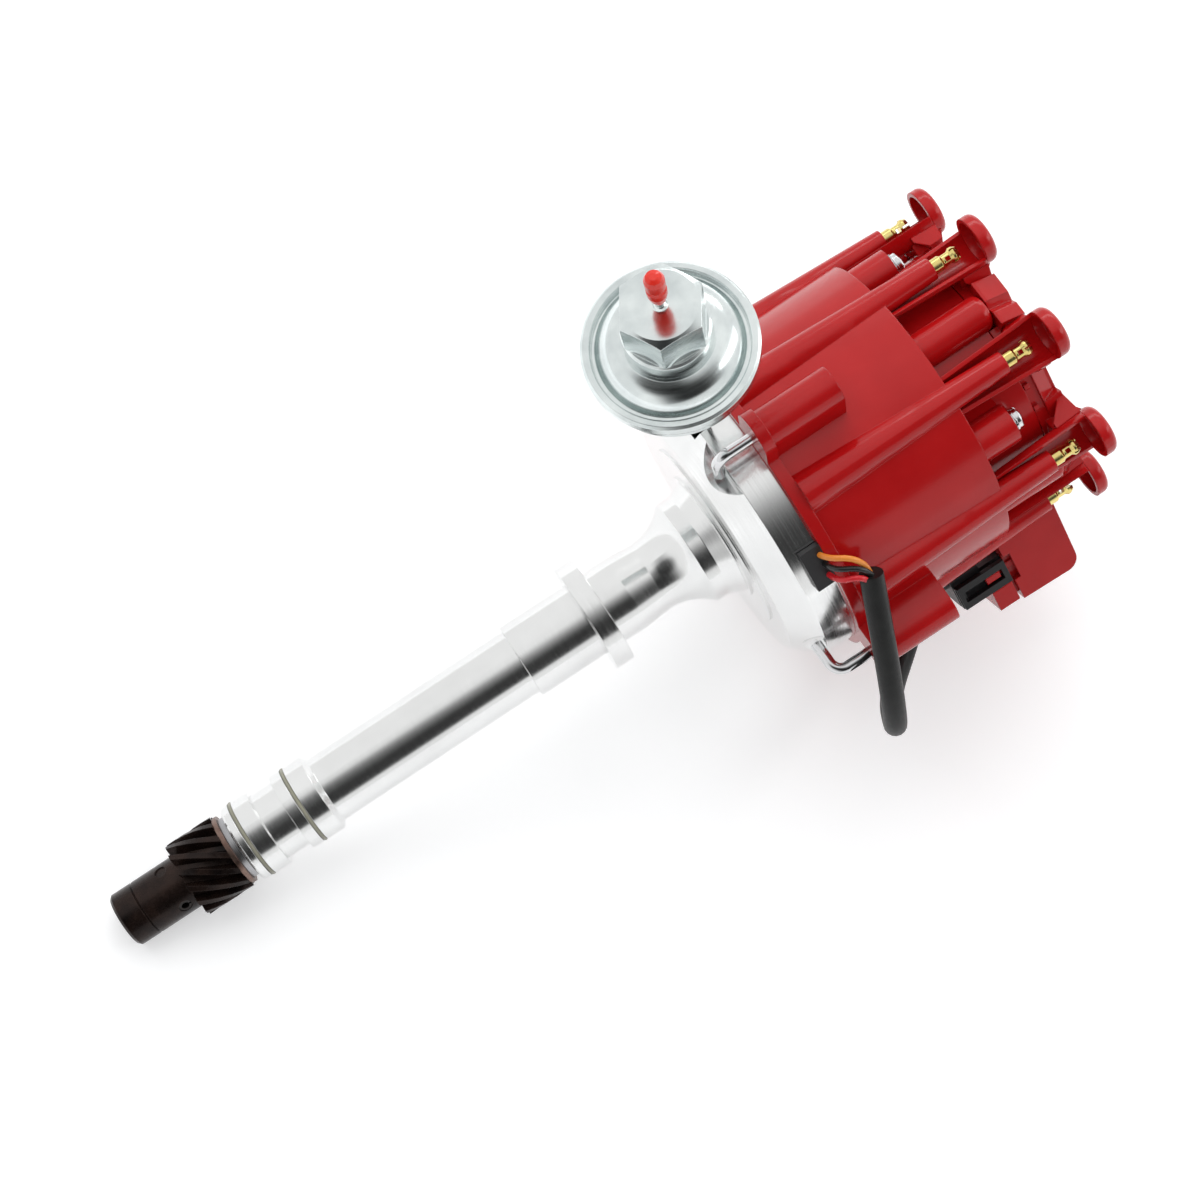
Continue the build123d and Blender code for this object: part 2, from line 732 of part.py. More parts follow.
# ---------------------------------------------------------------- rotor
with BuildPart() as rotor:
    with BuildSketch(Plane.XY.offset(rotor_z)):
        Circle(rotor_d / 2)
    extrude(amount=rotor_thickness)
    # raised bar under the blade and the skirt that stiffens the disc
    with BuildSketch(radial_plane(first_tower_angle, rotor_z + rotor_thickness)):
        Circle(8)
        with Locations((rotor_d / 4, 0)):
            Rectangle(rotor_d / 2 - 1, 9)
    extrude(amount=rotor_blade_z - rotor_z - rotor_thickness)
    with BuildSketch(Plane.XY.offset(rotor_z - 2.4)):
        Circle(rotor_d / 2)
        Circle(rotor_d / 2 - 2, mode=Mode.SUBTRACT)
    extrude(amount=2.4)
    # legs that stand on the weight base
    with BuildSketch(Plane.XY.offset(weight_base_z + weight_base_thickness)):
        with Locations((0, rotor_leg_r), (0, -rotor_leg_r)):
            Circle(3.6)
    extrude(amount=rotor_z - weight_base_z - weight_base_thickness)
    with BuildSketch(Plane.XY.offset(weight_base_z)):
        with Locations((0, rotor_leg_r), (0, -rotor_leg_r)):
            Circle(1.6)
    extrude(amount=rotor_blade_z - weight_base_z, mode=Mode.SUBTRACT)
rotor.part.label = "rotor"
export_step(rotor.part, "parts/rotor.step")

with BuildPart() as rotor_blade:
    with BuildSketch(radial_plane(first_tower_angle, rotor_blade_z)):
        Circle(5)
        with Locations(((electrode_r - spark_gap) / 2, 0)):
            Rectangle(electrode_r - spark_gap, 5.6)
    extrude(amount=1.2)
    with BuildSketch(radial_plane(first_tower_angle, rotor_blade_z - 1.5)):
        with Locations((electrode_r - spark_gap - 1, 0)):
            Rectangle(2.0, 5.6)
    extrude(amount=1.5)
rotor_blade.part.label = "rotor_blade"
export_step(rotor_blade.part, "parts/rotor_blade.step")

with BuildPart() as rotor_screws:
    with BuildSketch(Plane.XY.offset(weight_base_z)):
        with Locations((0, rotor_leg_r), (0, -rotor_leg_r)):
            Circle(1.6 - seat_gap)
    extrude(amount=rotor_z + rotor_thickness - weight_base_z)
    with BuildSketch(Plane.XY.offset(rotor_z + rotor_thickness)):
        with Locations((0, rotor_leg_r), (0, -rotor_leg_r)):
            Circle(3.2)
    extrude(amount=2)
rotor_screws.part.label = "rotor_screws"
export_step(rotor_screws.part, "parts/rotor_screws.step")

# ---------------------------------------------------------------- cap
connector_side = Plane(
    origin=around(connector_width / 2, connector_angle - 90),
    x_dir=around(1, connector_angle),
    z_dir=around(1, connector_angle - 90),
)
connector_inner_r = 58.5
connector_foot_z = 151.0
plug_nose_r = plug_r + plug_nose_offset
plug_nose = (8.0, 16.0, 11.0)
plug_neck_r = plug_r - plug_neck_offset
loop_r = plug_r + loop_offset
plug_loop_width = 9.5
loop_window_width = 4.2
tongue_width = 2.6
wall_taper = degrees(atan((tower_base_d - tower_top_d) / 2 / (tower_top_z - cap_rim_top_z)))
with BuildPart() as cap_body:
    # rim flange with the ears of the latches
    with BuildSketch(Plane.XY.offset(bowl_rim_z)):
        Circle(cap_flange_d / 2)
        with PolarLocations(latch_circle_r, latch_count):
            Circle(latch_ear_d / 2)
        with PolarLocations(latch_circle_r - latch_ear_d / 4, latch_count):
            Rectangle(latch_ear_d / 2, latch_ear_d)
    extrude(amount=cap_rim_top_z - bowl_rim_z)
    # wall, up to the deck, and the panels that stand above it
    with BuildSketch(Plane.XY.offset(cap_rim_top_z)):
        Circle(cap_wall_d / 2)
    extrude(amount=deck_z - cap_rim_top_z)
    with BuildSketch(Plane.XY.offset(deck_z)):
        Circle(cap_wall_d / 2)
        Circle(cap_wall_d / 2 - panel_thickness, mode=Mode.SUBTRACT)
    extrude(amount=cap_wall_top_z - deck_z)
    # short posts round the latches
    with BuildSketch(Plane.XY.offset(cap_rim_top_z)):
        with PolarLocations(latch_circle_r, latch_count):
            Circle(latch_post_d / 2)
        with PolarLocations((latch_circle_r + cap_wall_d / 2 - 6) / 2, latch_count):
            Rectangle(latch_circle_r - cap_wall_d / 2 + 6, latch_post_d)
    extrude(amount=latch_post_top_z - cap_rim_top_z)
    # tapered towers
    with BuildSketch(Plane.XY.offset(cap_rim_top_z)):
        with PolarLocations(tower_circle_r, tower_count, first_tower_angle):
            Circle(tower_base_d / 2)
    extrude(amount=tower_top_z - cap_rim_top_z, taper=wall_taper)
    # coil room, screw posts and columns
    with BuildSketch(Plane.XY.offset(deck_z)):
        Circle(coil_room_d / 2 + coil_room_wall)
    extrude(amount=coil_room_top_z - deck_z)
    with BuildSketch(Plane.XY.offset(deck_z)):
        with PolarLocations(post_circle_r, 4, 45):
            Circle(post_d / 2)
    extrude(amount=post_top_z - deck_z)
    with BuildSketch(Plane.XY.offset(deck_z)):
        with PolarLocations(column_circle_r, 4):
            Circle(column_d / 2)
    extrude(amount=column_top_z - deck_z)
    fillet(cap_body.edges().filter_by(GeomType.CIRCLE).group_by(Axis.Z)[-1], column_top_round)
    # a low rib from each post to the coil room
    for angle in post_angles:
        with BuildSketch(radial_plane(angle, deck_z)):
            with Locations((post_circle_r - 3, -7)):
                Rectangle(10, post_rib_width, rotation=41)
        extrude(amount=post_top_z - deck_z - 0.6)
    # connector block on the side, with the ramp that the plug's loop snaps over
    with BuildSketch(connector_side):
        with BuildLine():
            Polyline(
                (connector_reach + 0.6 - connector_round, connector_top_z),
                (connector_inner_r, connector_top_z + 0.6),
                (connector_inner_r, connector_foot_z),
                (cap_wall_d / 2 - panel_thickness, connector_foot_z),
                (cap_wall_d / 2 - panel_thickness, connector_bottom_z),
                (connector_reach, connector_bottom_z),
                (connector_reach + 0.6, connector_top_z - connector_round),
            )
            RadiusArc(
                (connector_reach + 0.6, connector_top_z - connector_round),
                (connector_reach + 0.6 - connector_round, connector_top_z),
                -connector_round,
            )
        make_face()
        with Locations((sum(ramp_r) / 2, (ramp_z[0] + connector_bottom_z) / 2)):
            Rectangle(ramp_r[1] - ramp_r[0], connector_bottom_z - ramp_z[0])
    extrude(amount=-connector_width)
    # slit above the ramp, socket for the plug and notch for its loop
    with BuildSketch(connector_side):
        with Locations((ramp_r[1] + 1, (ramp_z[1] + connector_bottom_z) / 2 + 0.1)):
            Rectangle(5, connector_bottom_z - ramp_z[1] + 0.2)
    extrude(amount=-connector_width, mode=Mode.SUBTRACT)
    with BuildSketch(connector_side):
        with Locations(((ramp_r[0] + connector_reach) / 2, (ramp_z[1] + connector_bottom_z) / 2 + 0.1)):
            Rectangle(connector_reach - ramp_r[0] + 2, connector_bottom_z - ramp_z[1] + 0.2)
    extrude(amount=-2.5, mode=Mode.SUBTRACT)
    with BuildSketch(Plane(origin=(0, 0, connector_bottom_z), x_dir=connector_side.x_dir, z_dir=(0, 0, 1))):
        with Locations((plug_nose_r, 0)):
            Rectangle(plug_nose[0] + 0.6, plug_nose[1] + 0.6)
    extrude(amount=plug_nose[2] + 1, mode=Mode.SUBTRACT)
    with BuildSketch(connector_side):
        with Locations((loop_r, connector_bottom_z + 1.35)):
            Rectangle(plug_loop_width + 1.3, 2.7)
    extrude(amount=-3.2, mode=Mode.SUBTRACT)
    # tongue that snaps into the loop, on a strip behind it
    with BuildSketch(connector_side.offset(-0.2)):
        with Locations((loop_r - 0.3, (tongue_bottom_z + tongue_top_z) / 2)):
            Rectangle(tongue_width, tongue_top_z - tongue_bottom_z)
    extrude(amount=-2.6)
    with BuildSketch(connector_side.offset(-2.3)):
        with Locations((loop_r - 0.3, (tongue_bottom_z + connector_bottom_z + 3) / 2)):
            Rectangle(tongue_width, connector_bottom_z + 3 - tongue_bottom_z)
    extrude(amount=-0.5)
    # rotor space below, and an open ring beside the coil room
    with BuildSketch(Plane.XY.offset(bowl_rim_z)):
        Circle(cavity_d / 2)
    extrude(amount=cavity_top_z - bowl_rim_z, mode=Mode.SUBTRACT)
    with BuildSketch(Plane.XY.offset(cavity_top_z)):
        Circle(cavity_d / 2)
        Circle(coil_room_d / 2 + coil_room_wall + 1.5, mode=Mode.SUBTRACT)
    extrude(amount=deck_z - panel_thickness - cavity_top_z, mode=Mode.SUBTRACT)
    # coil room and the brush guide in its floor
    with BuildSketch(Plane.XY.offset(partition_top_z)):
        Circle(coil_room_d / 2)
    extrude(amount=column_top_z - partition_top_z, mode=Mode.SUBTRACT)
    with BuildSketch(Plane.XY.offset(cavity_top_z - 6)):
        Circle(6.5)
    extrude(amount=partition_top_z - cavity_top_z + 6)
    with BuildSketch(Plane.XY.offset(cavity_top_z - 6)):
        Circle(brush_d / 2 + running_gap)
    extrude(amount=partition_top_z - cavity_top_z + 6, mode=Mode.SUBTRACT)
    # latch rods and their spring wells
    with BuildSketch(Plane.XY.offset(bowl_rim_z)):
        with PolarLocations(latch_circle_r, latch_count):
            Circle(latch_rod_d / 2 + running_gap)
    extrude(amount=latch_post_top_z - bowl_rim_z, mode=Mode.SUBTRACT)
    with BuildSketch(Plane.XY.offset(latch_well_z)):
        with PolarLocations(latch_circle_r, latch_count):
            Circle(latch_well_d / 2)
    extrude(amount=latch_post_top_z - latch_well_z, mode=Mode.SUBTRACT)
    # screw holes in the posts
    with BuildSketch(Plane.XY.offset(post_top_z - 14)):
        with PolarLocations(post_circle_r, 4, 45):
            Circle(2)
    extrude(amount=14, mode=Mode.SUBTRACT)
    # terminals: a rod up each tower and an electrode through the wall
    with BuildSketch(Plane.XY.offset(electrode_z)):
        with PolarLocations(tower_circle_r, tower_count, first_tower_angle):
            Circle(terminal_d / 2 + seat_gap)
    extrude(amount=tower_top_z - electrode_z, mode=Mode.SUBTRACT)
    with BuildSketch(Plane.XY.offset(electrode_z)):
        with PolarLocations((tower_circle_r + electrode_r) / 2, tower_count, first_tower_angle):
            Rectangle(tower_circle_r - electrode_r, terminal_d - 0.4)
    extrude(amount=electrode_height, mode=Mode.SUBTRACT)
cap_body.part.label = "cap_body"
export_step(cap_body.part, "parts/cap_body.step")

terminal_collar_z = tower_top_z + 3.6
terminal_neck_d = terminal_head_d - 1.2
terminal_window_z = tower_top_z + 6.2
terminal_profile = [
    (0, electrode_z),
    (terminal_d / 2, electrode_z),
    (terminal_d / 2, tower_top_z),
    (terminal_head_d / 2, tower_top_z),
    (terminal_head_d / 2, terminal_collar_z),
    (terminal_neck_d / 2, terminal_collar_z + 0.9),
    (terminal_neck_d / 2, terminal_top_z - 3.4),
    (terminal_head_d / 2 + 0.2, terminal_top_z - 2.2),
    (terminal_head_d / 2 + 0.2, terminal_top_z - 1.4),
    (terminal_neck_d / 2 + 0.1, terminal_top_z),
    (0, terminal_top_z),
]
with BuildPart() as cap_terminals:
    for angle in tower_angles:
        x, y, z = around(tower_circle_r, angle)
        upright = Plane(origin=(x, y, 0), x_dir=around(1, angle), z_dir=around(1, angle - 90))
        with BuildSketch(upright):
            with BuildLine():
                Polyline(*terminal_profile, close=True)
            make_face()
        revolve(axis=Axis((x, y, 0), (0, 0, 1)))
        with BuildSketch(radial_plane(angle, electrode_z)):
            with Locations(((tower_circle_r + electrode_r) / 2, 0)):
                Rectangle(tower_circle_r - electrode_r, terminal_d - 0.4 - 2 * seat_gap)
        extrude(amount=electrode_height)
        # crossed slots in the springy head and a square window in the neck
        with BuildSketch(radial_plane(angle, terminal_top_z - 2.6)):
            with Locations((tower_circle_r, 0)):
                Rectangle(terminal_head_d + 2, 0.8)
                Rectangle(0.8, terminal_head_d + 2)
        extrude(amount=3, mode=Mode.SUBTRACT)
        with BuildSketch(Plane(origin=(x, y, terminal_window_z), x_dir=(0, 0, 1), z_dir=around(1, first_tower_angle))):
            Rectangle(1.8, 1.6)
        extrude(amount=terminal_head_d, both=True, mode=Mode.SUBTRACT)
cap_terminals.part.label = "cap_terminals"
export_step(cap_terminals.part, "parts/cap_terminals.step")

# ---------------------------------------------------------------- coil in the cap
core_size = (62.0, 48.0, 18.0)
core_z = 131.0
core_leg = 14.0
core_window = (17.0, 34.0)
with BuildPart() as coil_core:
    with BuildSketch(Plane.XY.offset(core_z)):
        Rectangle(core_size[0], core_size[1])
        with GridLocations(core_leg + core_window[0], 0, 2, 1):
            Rectangle(core_window[0], core_window[1], mode=Mode.SUBTRACT)
    extrude(amount=core_size[2])
coil_core.part.label = "coil_core"
export_step(coil_core.part, "parts/coil_core.step")

winding_z = (122.0, 158.0)
with BuildPart() as coil_winding:
    with BuildSketch(Plane.XY.offset(winding_z[0])):
        RectangleRounded(core_leg + 2 * core_window[0] - 1, core_window[1] - 1, 4)
    extrude(amount=winding_z[1] - winding_z[0])
    with BuildSketch(Plane.XY.offset(core_z - 0.2)):
        Rectangle(core_leg + 0.4, core_window[1])
    extrude(amount=core_size[2] + 0.4, mode=Mode.SUBTRACT)
coil_winding.part.label = "coil_winding"
export_step(coil_winding.part, "parts/coil_winding.step")

coil_stud_xy = (26.8, 19.8)
with BuildPart() as coil_studs:
    # pillars that carry the core on the floor of the coil room
    with BuildSketch(Plane.XY.offset(partition_top_z)):
        with GridLocations(2 * coil_stud_xy[0], 2 * coil_stud_xy[1], 2, 2):
            Circle(3)
    extrude(amount=core_z - partition_top_z)
coil_studs.part.label = "coil_studs"
export_step(coil_studs.part, "parts/coil_studs.step")

with BuildPart() as coil_cover:
    with BuildSketch(Plane.XY.offset(winding_z[1])):
        Circle(coil_room_d / 2 - 0.1)
    extrude(amount=coil_room_top_z - winding_z[1] - 0.3)
    with BuildSketch(Plane.XY.offset(coil_room_top_z - 3)):
        Circle(coil_room_d / 2 - 5)
    extrude(amount=4, mode=Mode.SUBTRACT)
coil_cover.part.label = "coil_cover"
export_step(coil_cover.part, "parts/coil_cover.step")

coil_contact_height = 1.4
with BuildPart() as coil_contact:
    with BuildSketch(Plane.XY.offset(winding_z[0] - coil_contact_height)):
        Circle(3.4)
    extrude(amount=coil_contact_height)
coil_contact.part.label = "coil_contact"
export_step(coil_contact.part, "parts/coil_contact.step")

brush_bottom_z = rotor_blade_z + 1.2 + face_gap
with BuildPart() as cap_brush:
    with BuildSketch(Plane.XY.offset(brush_bottom_z)):
        Circle(brush_d / 2)
    extrude(amount=brush_top_z - brush_bottom_z)
    fillet(cap_brush.faces().sort_by(Axis.Z)[0].edges(), 1.2)
cap_brush.part.label = "cap_brush"
export_step(cap_brush.part, "parts/cap_brush.step")

brush_spring_wire = 0.6
brush_spring_length = winding_z[0] - coil_contact_height - brush_top_z - brush_spring_wire
with BuildPart() as brush_spring:
    with BuildLine() as coil_path:
        Helix(brush_spring_length / 3, brush_spring_length, 2.1, center=(0, 0, brush_top_z + brush_spring_wire / 2))
    with BuildSketch(Plane(origin=coil_path.line @ 0, z_dir=coil_path.line % 0)):
        Rectangle(brush_spring_wire, brush_spring_wire)
    sweep(path=coil_path.line, is_frenet=True)
brush_spring.part.label = "brush_spring"
export_step(brush_spring.part, "parts/brush_spring.step")

# ---------------------------------------------------------------- cap screws and lock washers
with BuildPart() as lock_washers:
    for start_z, height, ring_d in ((0, 0.75, 9.6), (0.75, 0.2, 8.4), (0.95, 0.75, 9.2)):
        with BuildSketch(Plane.XY.offset(post_top_z + start_z)):
            with PolarLocations(post_circle_r, 4, 45):
                Circle(ring_d / 2)
                Circle(2.4, mode=Mode.SUBTRACT)
            with PolarLocations(post_circle_r + 3.5, 4, 45):
                Rectangle(3.2, 0.7, mode=Mode.SUBTRACT)
        extrude(amount=height)
lock_washers.part.label = "lock_washers"
export_step(lock_washers.part, "parts/lock_washers.step")

with BuildPart() as cap_screws:
    for angle in post_angles:
        x, y, z = around(post_circle_r, angle)
        head_z = post_top_z + 1.7
        with BuildSketch(Plane(origin=(x, y, 0), x_dir=(1, 0, 0), z_dir=(0, -1, 0))):
            with BuildLine():
                Polyline((0, post_top_z - 13), (1.9, post_top_z - 13), (1.9, head_z), (4.2, head_z))
                Polyline((4.2, head_z), (4.2, head_z + 1.4))
                ThreePointArc((4.2, head_z + 1.4), (2.7, head_z + 2.5), (0, head_z + 2.9))
                Polyline((0, head_z + 2.9), (0, post_top_z - 13))
            make_face()
        revolve(axis=Axis((x, y, 0), (0, 0, 1)))
        with BuildSketch(radial_plane(angle + 90, head_z + 1.5)):
            with Locations((0, -post_circle_r)):
                Rectangle(10, 1.2)
        extrude(amount=2, mode=Mode.SUBTRACT)
cap_screws.part.label = "cap_screws"
export_step(cap_screws.part, "parts/cap_screws.step")

# ---------------------------------------------------------------- wire retainer
with BuildPart() as wire_retainer:
    # splayed webs behind the hoods, leaning back underneath
    for angle in tower_angles:
        with BuildSketch(radial_plane(angle, channel_lip_z)):
            Polygon(
                (crown_d / 2 - 6, -web_root_width / 2),
                (channel_face_r - 3, 1.6 - hood_d / 2),
                (channel_face_r - 3, hood_d / 2 - 1.6),
                (crown_d / 2 - 6, web_root_width / 2),
                align=None,
            )
        extrude(amount=hood_hollow_z - channel_lip_z)
        side_plane = Plane(origin=(0, 0, 0), x_dir=around(1, angle), z_dir=around(1, angle - 90))
        with BuildSketch(side_plane):
            Polygon(
                (crown_d / 2 - 7, channel_lip_z - 1),
                (crown_d / 2 + 4.5, channel_lip_z - 1),
                (crown_d / 2 + 4.5, channel_lip_z),
                (crown_d / 2 - 3, crown_top_z - 1),
                (crown_d / 2 - 7, crown_top_z - 1),
                align=None,
            )
            Polygon(
                (crown_d / 2 - 7, crown_top_z),
                (crown_d / 2 - 3, crown_top_z),
                (channel_face_r, hood_rim_z + 1),
                (channel_face_r, hood_top_z),
                (crown_d / 2 - 7, hood_top_z),
                align=None,
            )
        extrude(amount=web_root_width / 2 + 1, both=True, mode=Mode.SUBTRACT)
    # crown over the coil room
    with BuildSketch(Plane.XY.offset(crown_bottom_z)):
        Circle(crown_d / 2)
    extrude(amount=crown_top_z - crown_bottom_z)
    # over the screw posts: a dark band with two tabs, and a leaning pocket above it
    for angle in post_angles:
        side_plane = Plane(origin=(0, 0, 0), x_dir=around(1, angle), z_dir=around(1, angle - 90))
        with BuildSketch(side_plane):
            with Locations((crown_d / 2, crown_bottom_z + 2.1)):
                Rectangle(3.6, 4.2)
        extrude(amount=13, both=True, mode=Mode.SUBTRACT)
        with BuildSketch(radial_plane(angle, crown_bottom_z)):
            with Locations((crown_d / 2 - 1.6, 4.5), (crown_d / 2 - 1.6, -4.5)):
                Rectangle(2.8, 2)
        extrude(amount=2)
        with BuildSketch(side_plane.offset(-4)):
            with BuildLine():
                Polyline(
                    (crown_d / 2 + 1, crown_bottom_z + 4.2),
                    (crown_d / 2 - 0.4, crown_bottom_z + 4.2),
                    (crown_d / 2 - 4.4, crown_top_z - 1.2),
                    (crown_d / 2 - 4.4, crown_top_z + 1),
                    (crown_d / 2 + 1, crown_top_z + 1),
                    close=True,
                )
            make_face()
        extrude(amount=15, mode=Mode.SUBTRACT)
    # bevelled noses with a vee over the columns
    for angle in latch_angles:
        side_plane = Plane(origin=(0, 0, 0), x_dir=around(1, angle), z_dir=around(1, angle - 90))
        with BuildSketch(side_plane):
            with BuildLine():
                Polyline(
                    (crown_d / 2 - 6, column_top_z + 0.3),
                    (crown_d / 2 + 6, column_top_z + 0.3),
                    (crown_d / 2 + 6, column_top_z + 1.3),
                    (crown_d / 2 + 2, nose_top_z),
                    (crown_d / 2 - 6, nose_top_z),
                    close=True,
                )
            make_face()
        extrude(amount=nose_width / 2, both=True)
        x, y, z = around(crown_d / 2 + 6.8, angle + nose_vee_turn, column_top_z + 1.3)
        lean = (-4 * cos(radians(angle)), -4 * sin(radians(angle)), nose_top_z - column_top_z - 1.3)
        with BuildSketch(Plane(origin=(x, y, z - 2), x_dir=around(1, angle + 90), z_dir=lean)):
            Rectangle(nose_vee, nose_vee, rotation=45)
        extrude(amount=16, mode=Mode.SUBTRACT)
    # webs that carry the channels, rising to the hoods
    for angle in tower_angles:
        side_plane = Plane(origin=(0, 0, 0), x_dir=around(1, angle), z_dir=around(1, angle - 90))
        with BuildSketch(side_plane):
            with BuildLine():
                Polyline(
                    (crown_d / 2 - 4, crown_bottom_z + 2),
                    (tower_circle_r - 5, crown_bottom_z + 2),
                    (tower_circle_r - 5, hood_hollow_z),
                    (crown_d / 2 - 4, crown_top_z - 0.4),
                    close=True,
                )
            make_face()
        extrude(amount=web_width / 2, both=True)
        # the channel and its hood stand in the end of the web
        x, y, z = around(tower_circle_r, angle)
        with BuildSketch(Plane(origin=(x, y, 0), x_dir=around(1, angle), z_dir=around(1, angle - 90))):
            with BuildLine():
                Polyline(
                    (0, channel_bottom_z),
                    (channel_foot_d / 2, channel_bottom_z),
                    (hood_d / 2, hood_rim_z),
                    (hood_d / 2, hood_top_z),
                    (0, hood_top_z),
                    close=True,
                )
            make_face()
        revolve(axis=Axis((x, y, 0), (0, 0, 1)), mode=Mode.SUBTRACT)
    # room for the tops of the columns
    with BuildSketch(Plane.XY.offset(crown_bottom_z)):
        with PolarLocations(column_circle_r, 4):
            Circle(column_d / 2 + 0.3)
    extrude(amount=column_top_z + 0.3 - crown_bottom_z, mode=Mode.SUBTRACT)
    # shallow dish on top and a hollow below
    with BuildSketch(Plane.XY.offset(crown_top_z - 1.6)):
        Circle(crown_d / 2 - 9)
    extrude(amount=4, mode=Mode.SUBTRACT)
    with BuildSketch(Plane.XY.offset(crown_bottom_z)):
        Circle(crown_d / 2 - 8)
    extrude(amount=crown_hollow_z - crown_bottom_z, mode=Mode.SUBTRACT)
wire_retainer.part.label = "wire_retainer"
export_step(wire_retainer.part, "parts/wire_retainer.step")

with BuildPart() as lead_channels:
    for angle in tower_angles:
        x, y, z = around(tower_circle_r, angle)
        with BuildSketch(Plane(origin=(x, y, 0), x_dir=around(1, angle), z_dir=around(1, angle - 90))):
            with BuildLine():
                Polyline(
                    (channel_foot_d / 2 - channel_wall, channel_bottom_z),
                    (channel_foot_d / 2, channel_bottom_z),
                    (hood_d / 2, hood_rim_z),
                    (hood_d / 2 - channel_wall, hood_rim_z),
                    close=True,
                )
            make_face()
        revolve(axis=Axis((x, y, 0), (0, 0, 1)))
    # the open outer side
    with BuildSketch(Plane.XY.offset(channel_bottom_z - 1)):
        with PolarLocations(channel_face_r + hood_d / 2 + 2, tower_count, first_tower_angle):
            Rectangle(hood_d + 4, hood_d + 4)
    extrude(amount=hood_rim_z - channel_bottom_z + 1, mode=Mode.SUBTRACT)
lead_channels.part.label = "lead_channels"
export_step(lead_channels.part, "parts/lead_channels.step")

with BuildPart() as lead_hoods:
    for angle in tower_angles:
        x, y, z = around(tower_circle_r, angle)
        with BuildSketch(Plane(origin=(x, y, 0), x_dir=around(1, angle), z_dir=around(1, angle - 90))):
            with BuildLine():
                Polyline(
                    (hood_d / 2, hood_top_z - hood_round),
                    (hood_d / 2, hood_rim_z),
                    (hood_d / 2 - hood_wall, hood_rim_z),
                    (hood_d / 2 - hood_wall - 0.6, hood_hollow_z),
                    (0, hood_hollow_z),
                    (0, hood_top_z),
                    (hood_d / 2 - hood_round, hood_top_z),
                )
                RadiusArc(
                    (hood_d / 2 - hood_round, hood_top_z),
                    (hood_d / 2, hood_top_z - hood_round),
                    hood_round,
                )
            make_face()
        revolve(axis=Axis((x, y, 0), (0, 0, 1)))
lead_hoods.part.label = "lead_hoods"
export_step(lead_hoods.part, "parts/lead_hoods.step")

# ---------------------------------------------------------------- latches
for number, angle in enumerate(latch_angles, 1):
    corner = around(latch_circle_r, angle, latch_foot_z)
    toe = around(latch_circle_r - latch_foot_reach, angle, latch_foot_z)
    with BuildPart() as latch:
        with BuildLine() as latch_path:
            FilletPolyline(around(latch_circle_r, angle, latch_head_z), corner, toe, radius=latch_bend_r)
        with BuildSketch(Plane(origin=latch_path.line @ 0, z_dir=latch_path.line % 0)):
            Circle(latch_rod_d / 2)
        sweep(path=latch_path.line)
        # slotted head
        with BuildSketch(Plane.XY.offset(latch_head_z)):
            with Locations(corner[:2]):
                Circle(latch_head_d / 2)
        extrude(amount=latch_head_height)
        with BuildSketch(radial_plane(angle, latch_head_z + latch_head_height - 1.3)):
            with Locations((latch_circle_r, 0)):
                Rectangle(latch_head_d + 1, 1.3)
        extrude(amount=2, mode=Mode.SUBTRACT)
    latch.part.label = f"latch_{number}"
    export_step(latch.part, f"parts/latch_{number}.step")

latch_spring_wire = 0.8
latch_spring_length = latch_head_z - latch_well_z - 0.3 - latch_spring_wire
with BuildPart() as latch_springs:
    for angle in latch_angles:
        foot = around(latch_circle_r, angle, latch_well_z + latch_spring_wire / 2)
        with BuildLine() as coil_path:
            Helix(latch_spring_length / 2, latch_spring_length, 3.4, center=foot)
        with BuildSketch(Plane(origin=coil_path.line @ 0, z_dir=coil_path.line % 0)):
            Rectangle(latch_spring_wire, latch_spring_wire)
        sweep(path=coil_path.line, is_frenet=True)
latch_springs.part.label = "latch_springs"
export_step(latch_springs.part, "parts/latch_springs.step")

# ---------------------------------------------------------------- vacuum advance
can_axis = Axis((0, can_y, can_z), (1, 0, 0))
can_section = Plane(origin=(0, can_y, can_z), x_dir=(1, 0, 0), z_dir=(0, -1, 0))
rear_d = can_d - 5.2
rear_lip_x = can_front_x - 3.2
bracket_plate_x = can_back_x - bracket_thickness
with BuildPart() as vacuum_bracket:
    with BuildSketch(Plane.XY.offset(bracket_z)):
        with Locations(((bracket_start_x + can_back_x) / 2, can_y)):
            Rectangle(can_back_x - bracket_start_x, bracket_width)
        with Locations(*bracket_screw_places):
            Circle(bracket_screw_d / 2 + 0.1, mode=Mode.SUBTRACT)
    extrude(amount=bracket_thickness)
    with BuildSketch(Plane(origin=(bracket_plate_x, can_y, can_z), x_dir=(0, 1, 0), z_dir=(1, 0, 0))):
        Circle(19)
        Circle(3, mode=Mode.SUBTRACT)
    extrude(amount=bracket_thickness)
vacuum_bracket.part.label = "vacuum_bracket"
export_step(vacuum_bracket.part, "parts/vacuum_bracket.step")

with BuildPart() as bracket_screws:
    with BuildSketch(Plane.XY.offset(bowl_floor_z + 2)):
        with Locations(*bracket_screw_places):
            Circle(bracket_screw_d / 2 - seat_gap)
    extrude(amount=bracket_z + bracket_thickness - bowl_floor_z - 2)
    with BuildSketch(Plane.XY.offset(bracket_z + bracket_thickness)):
        with Locations(*bracket_screw_places):
            Circle(3.3)
    extrude(amount=2.4)
bracket_screws.part.label = "bracket_screws"
export_step(bracket_screws.part, "parts/bracket_screws.step")

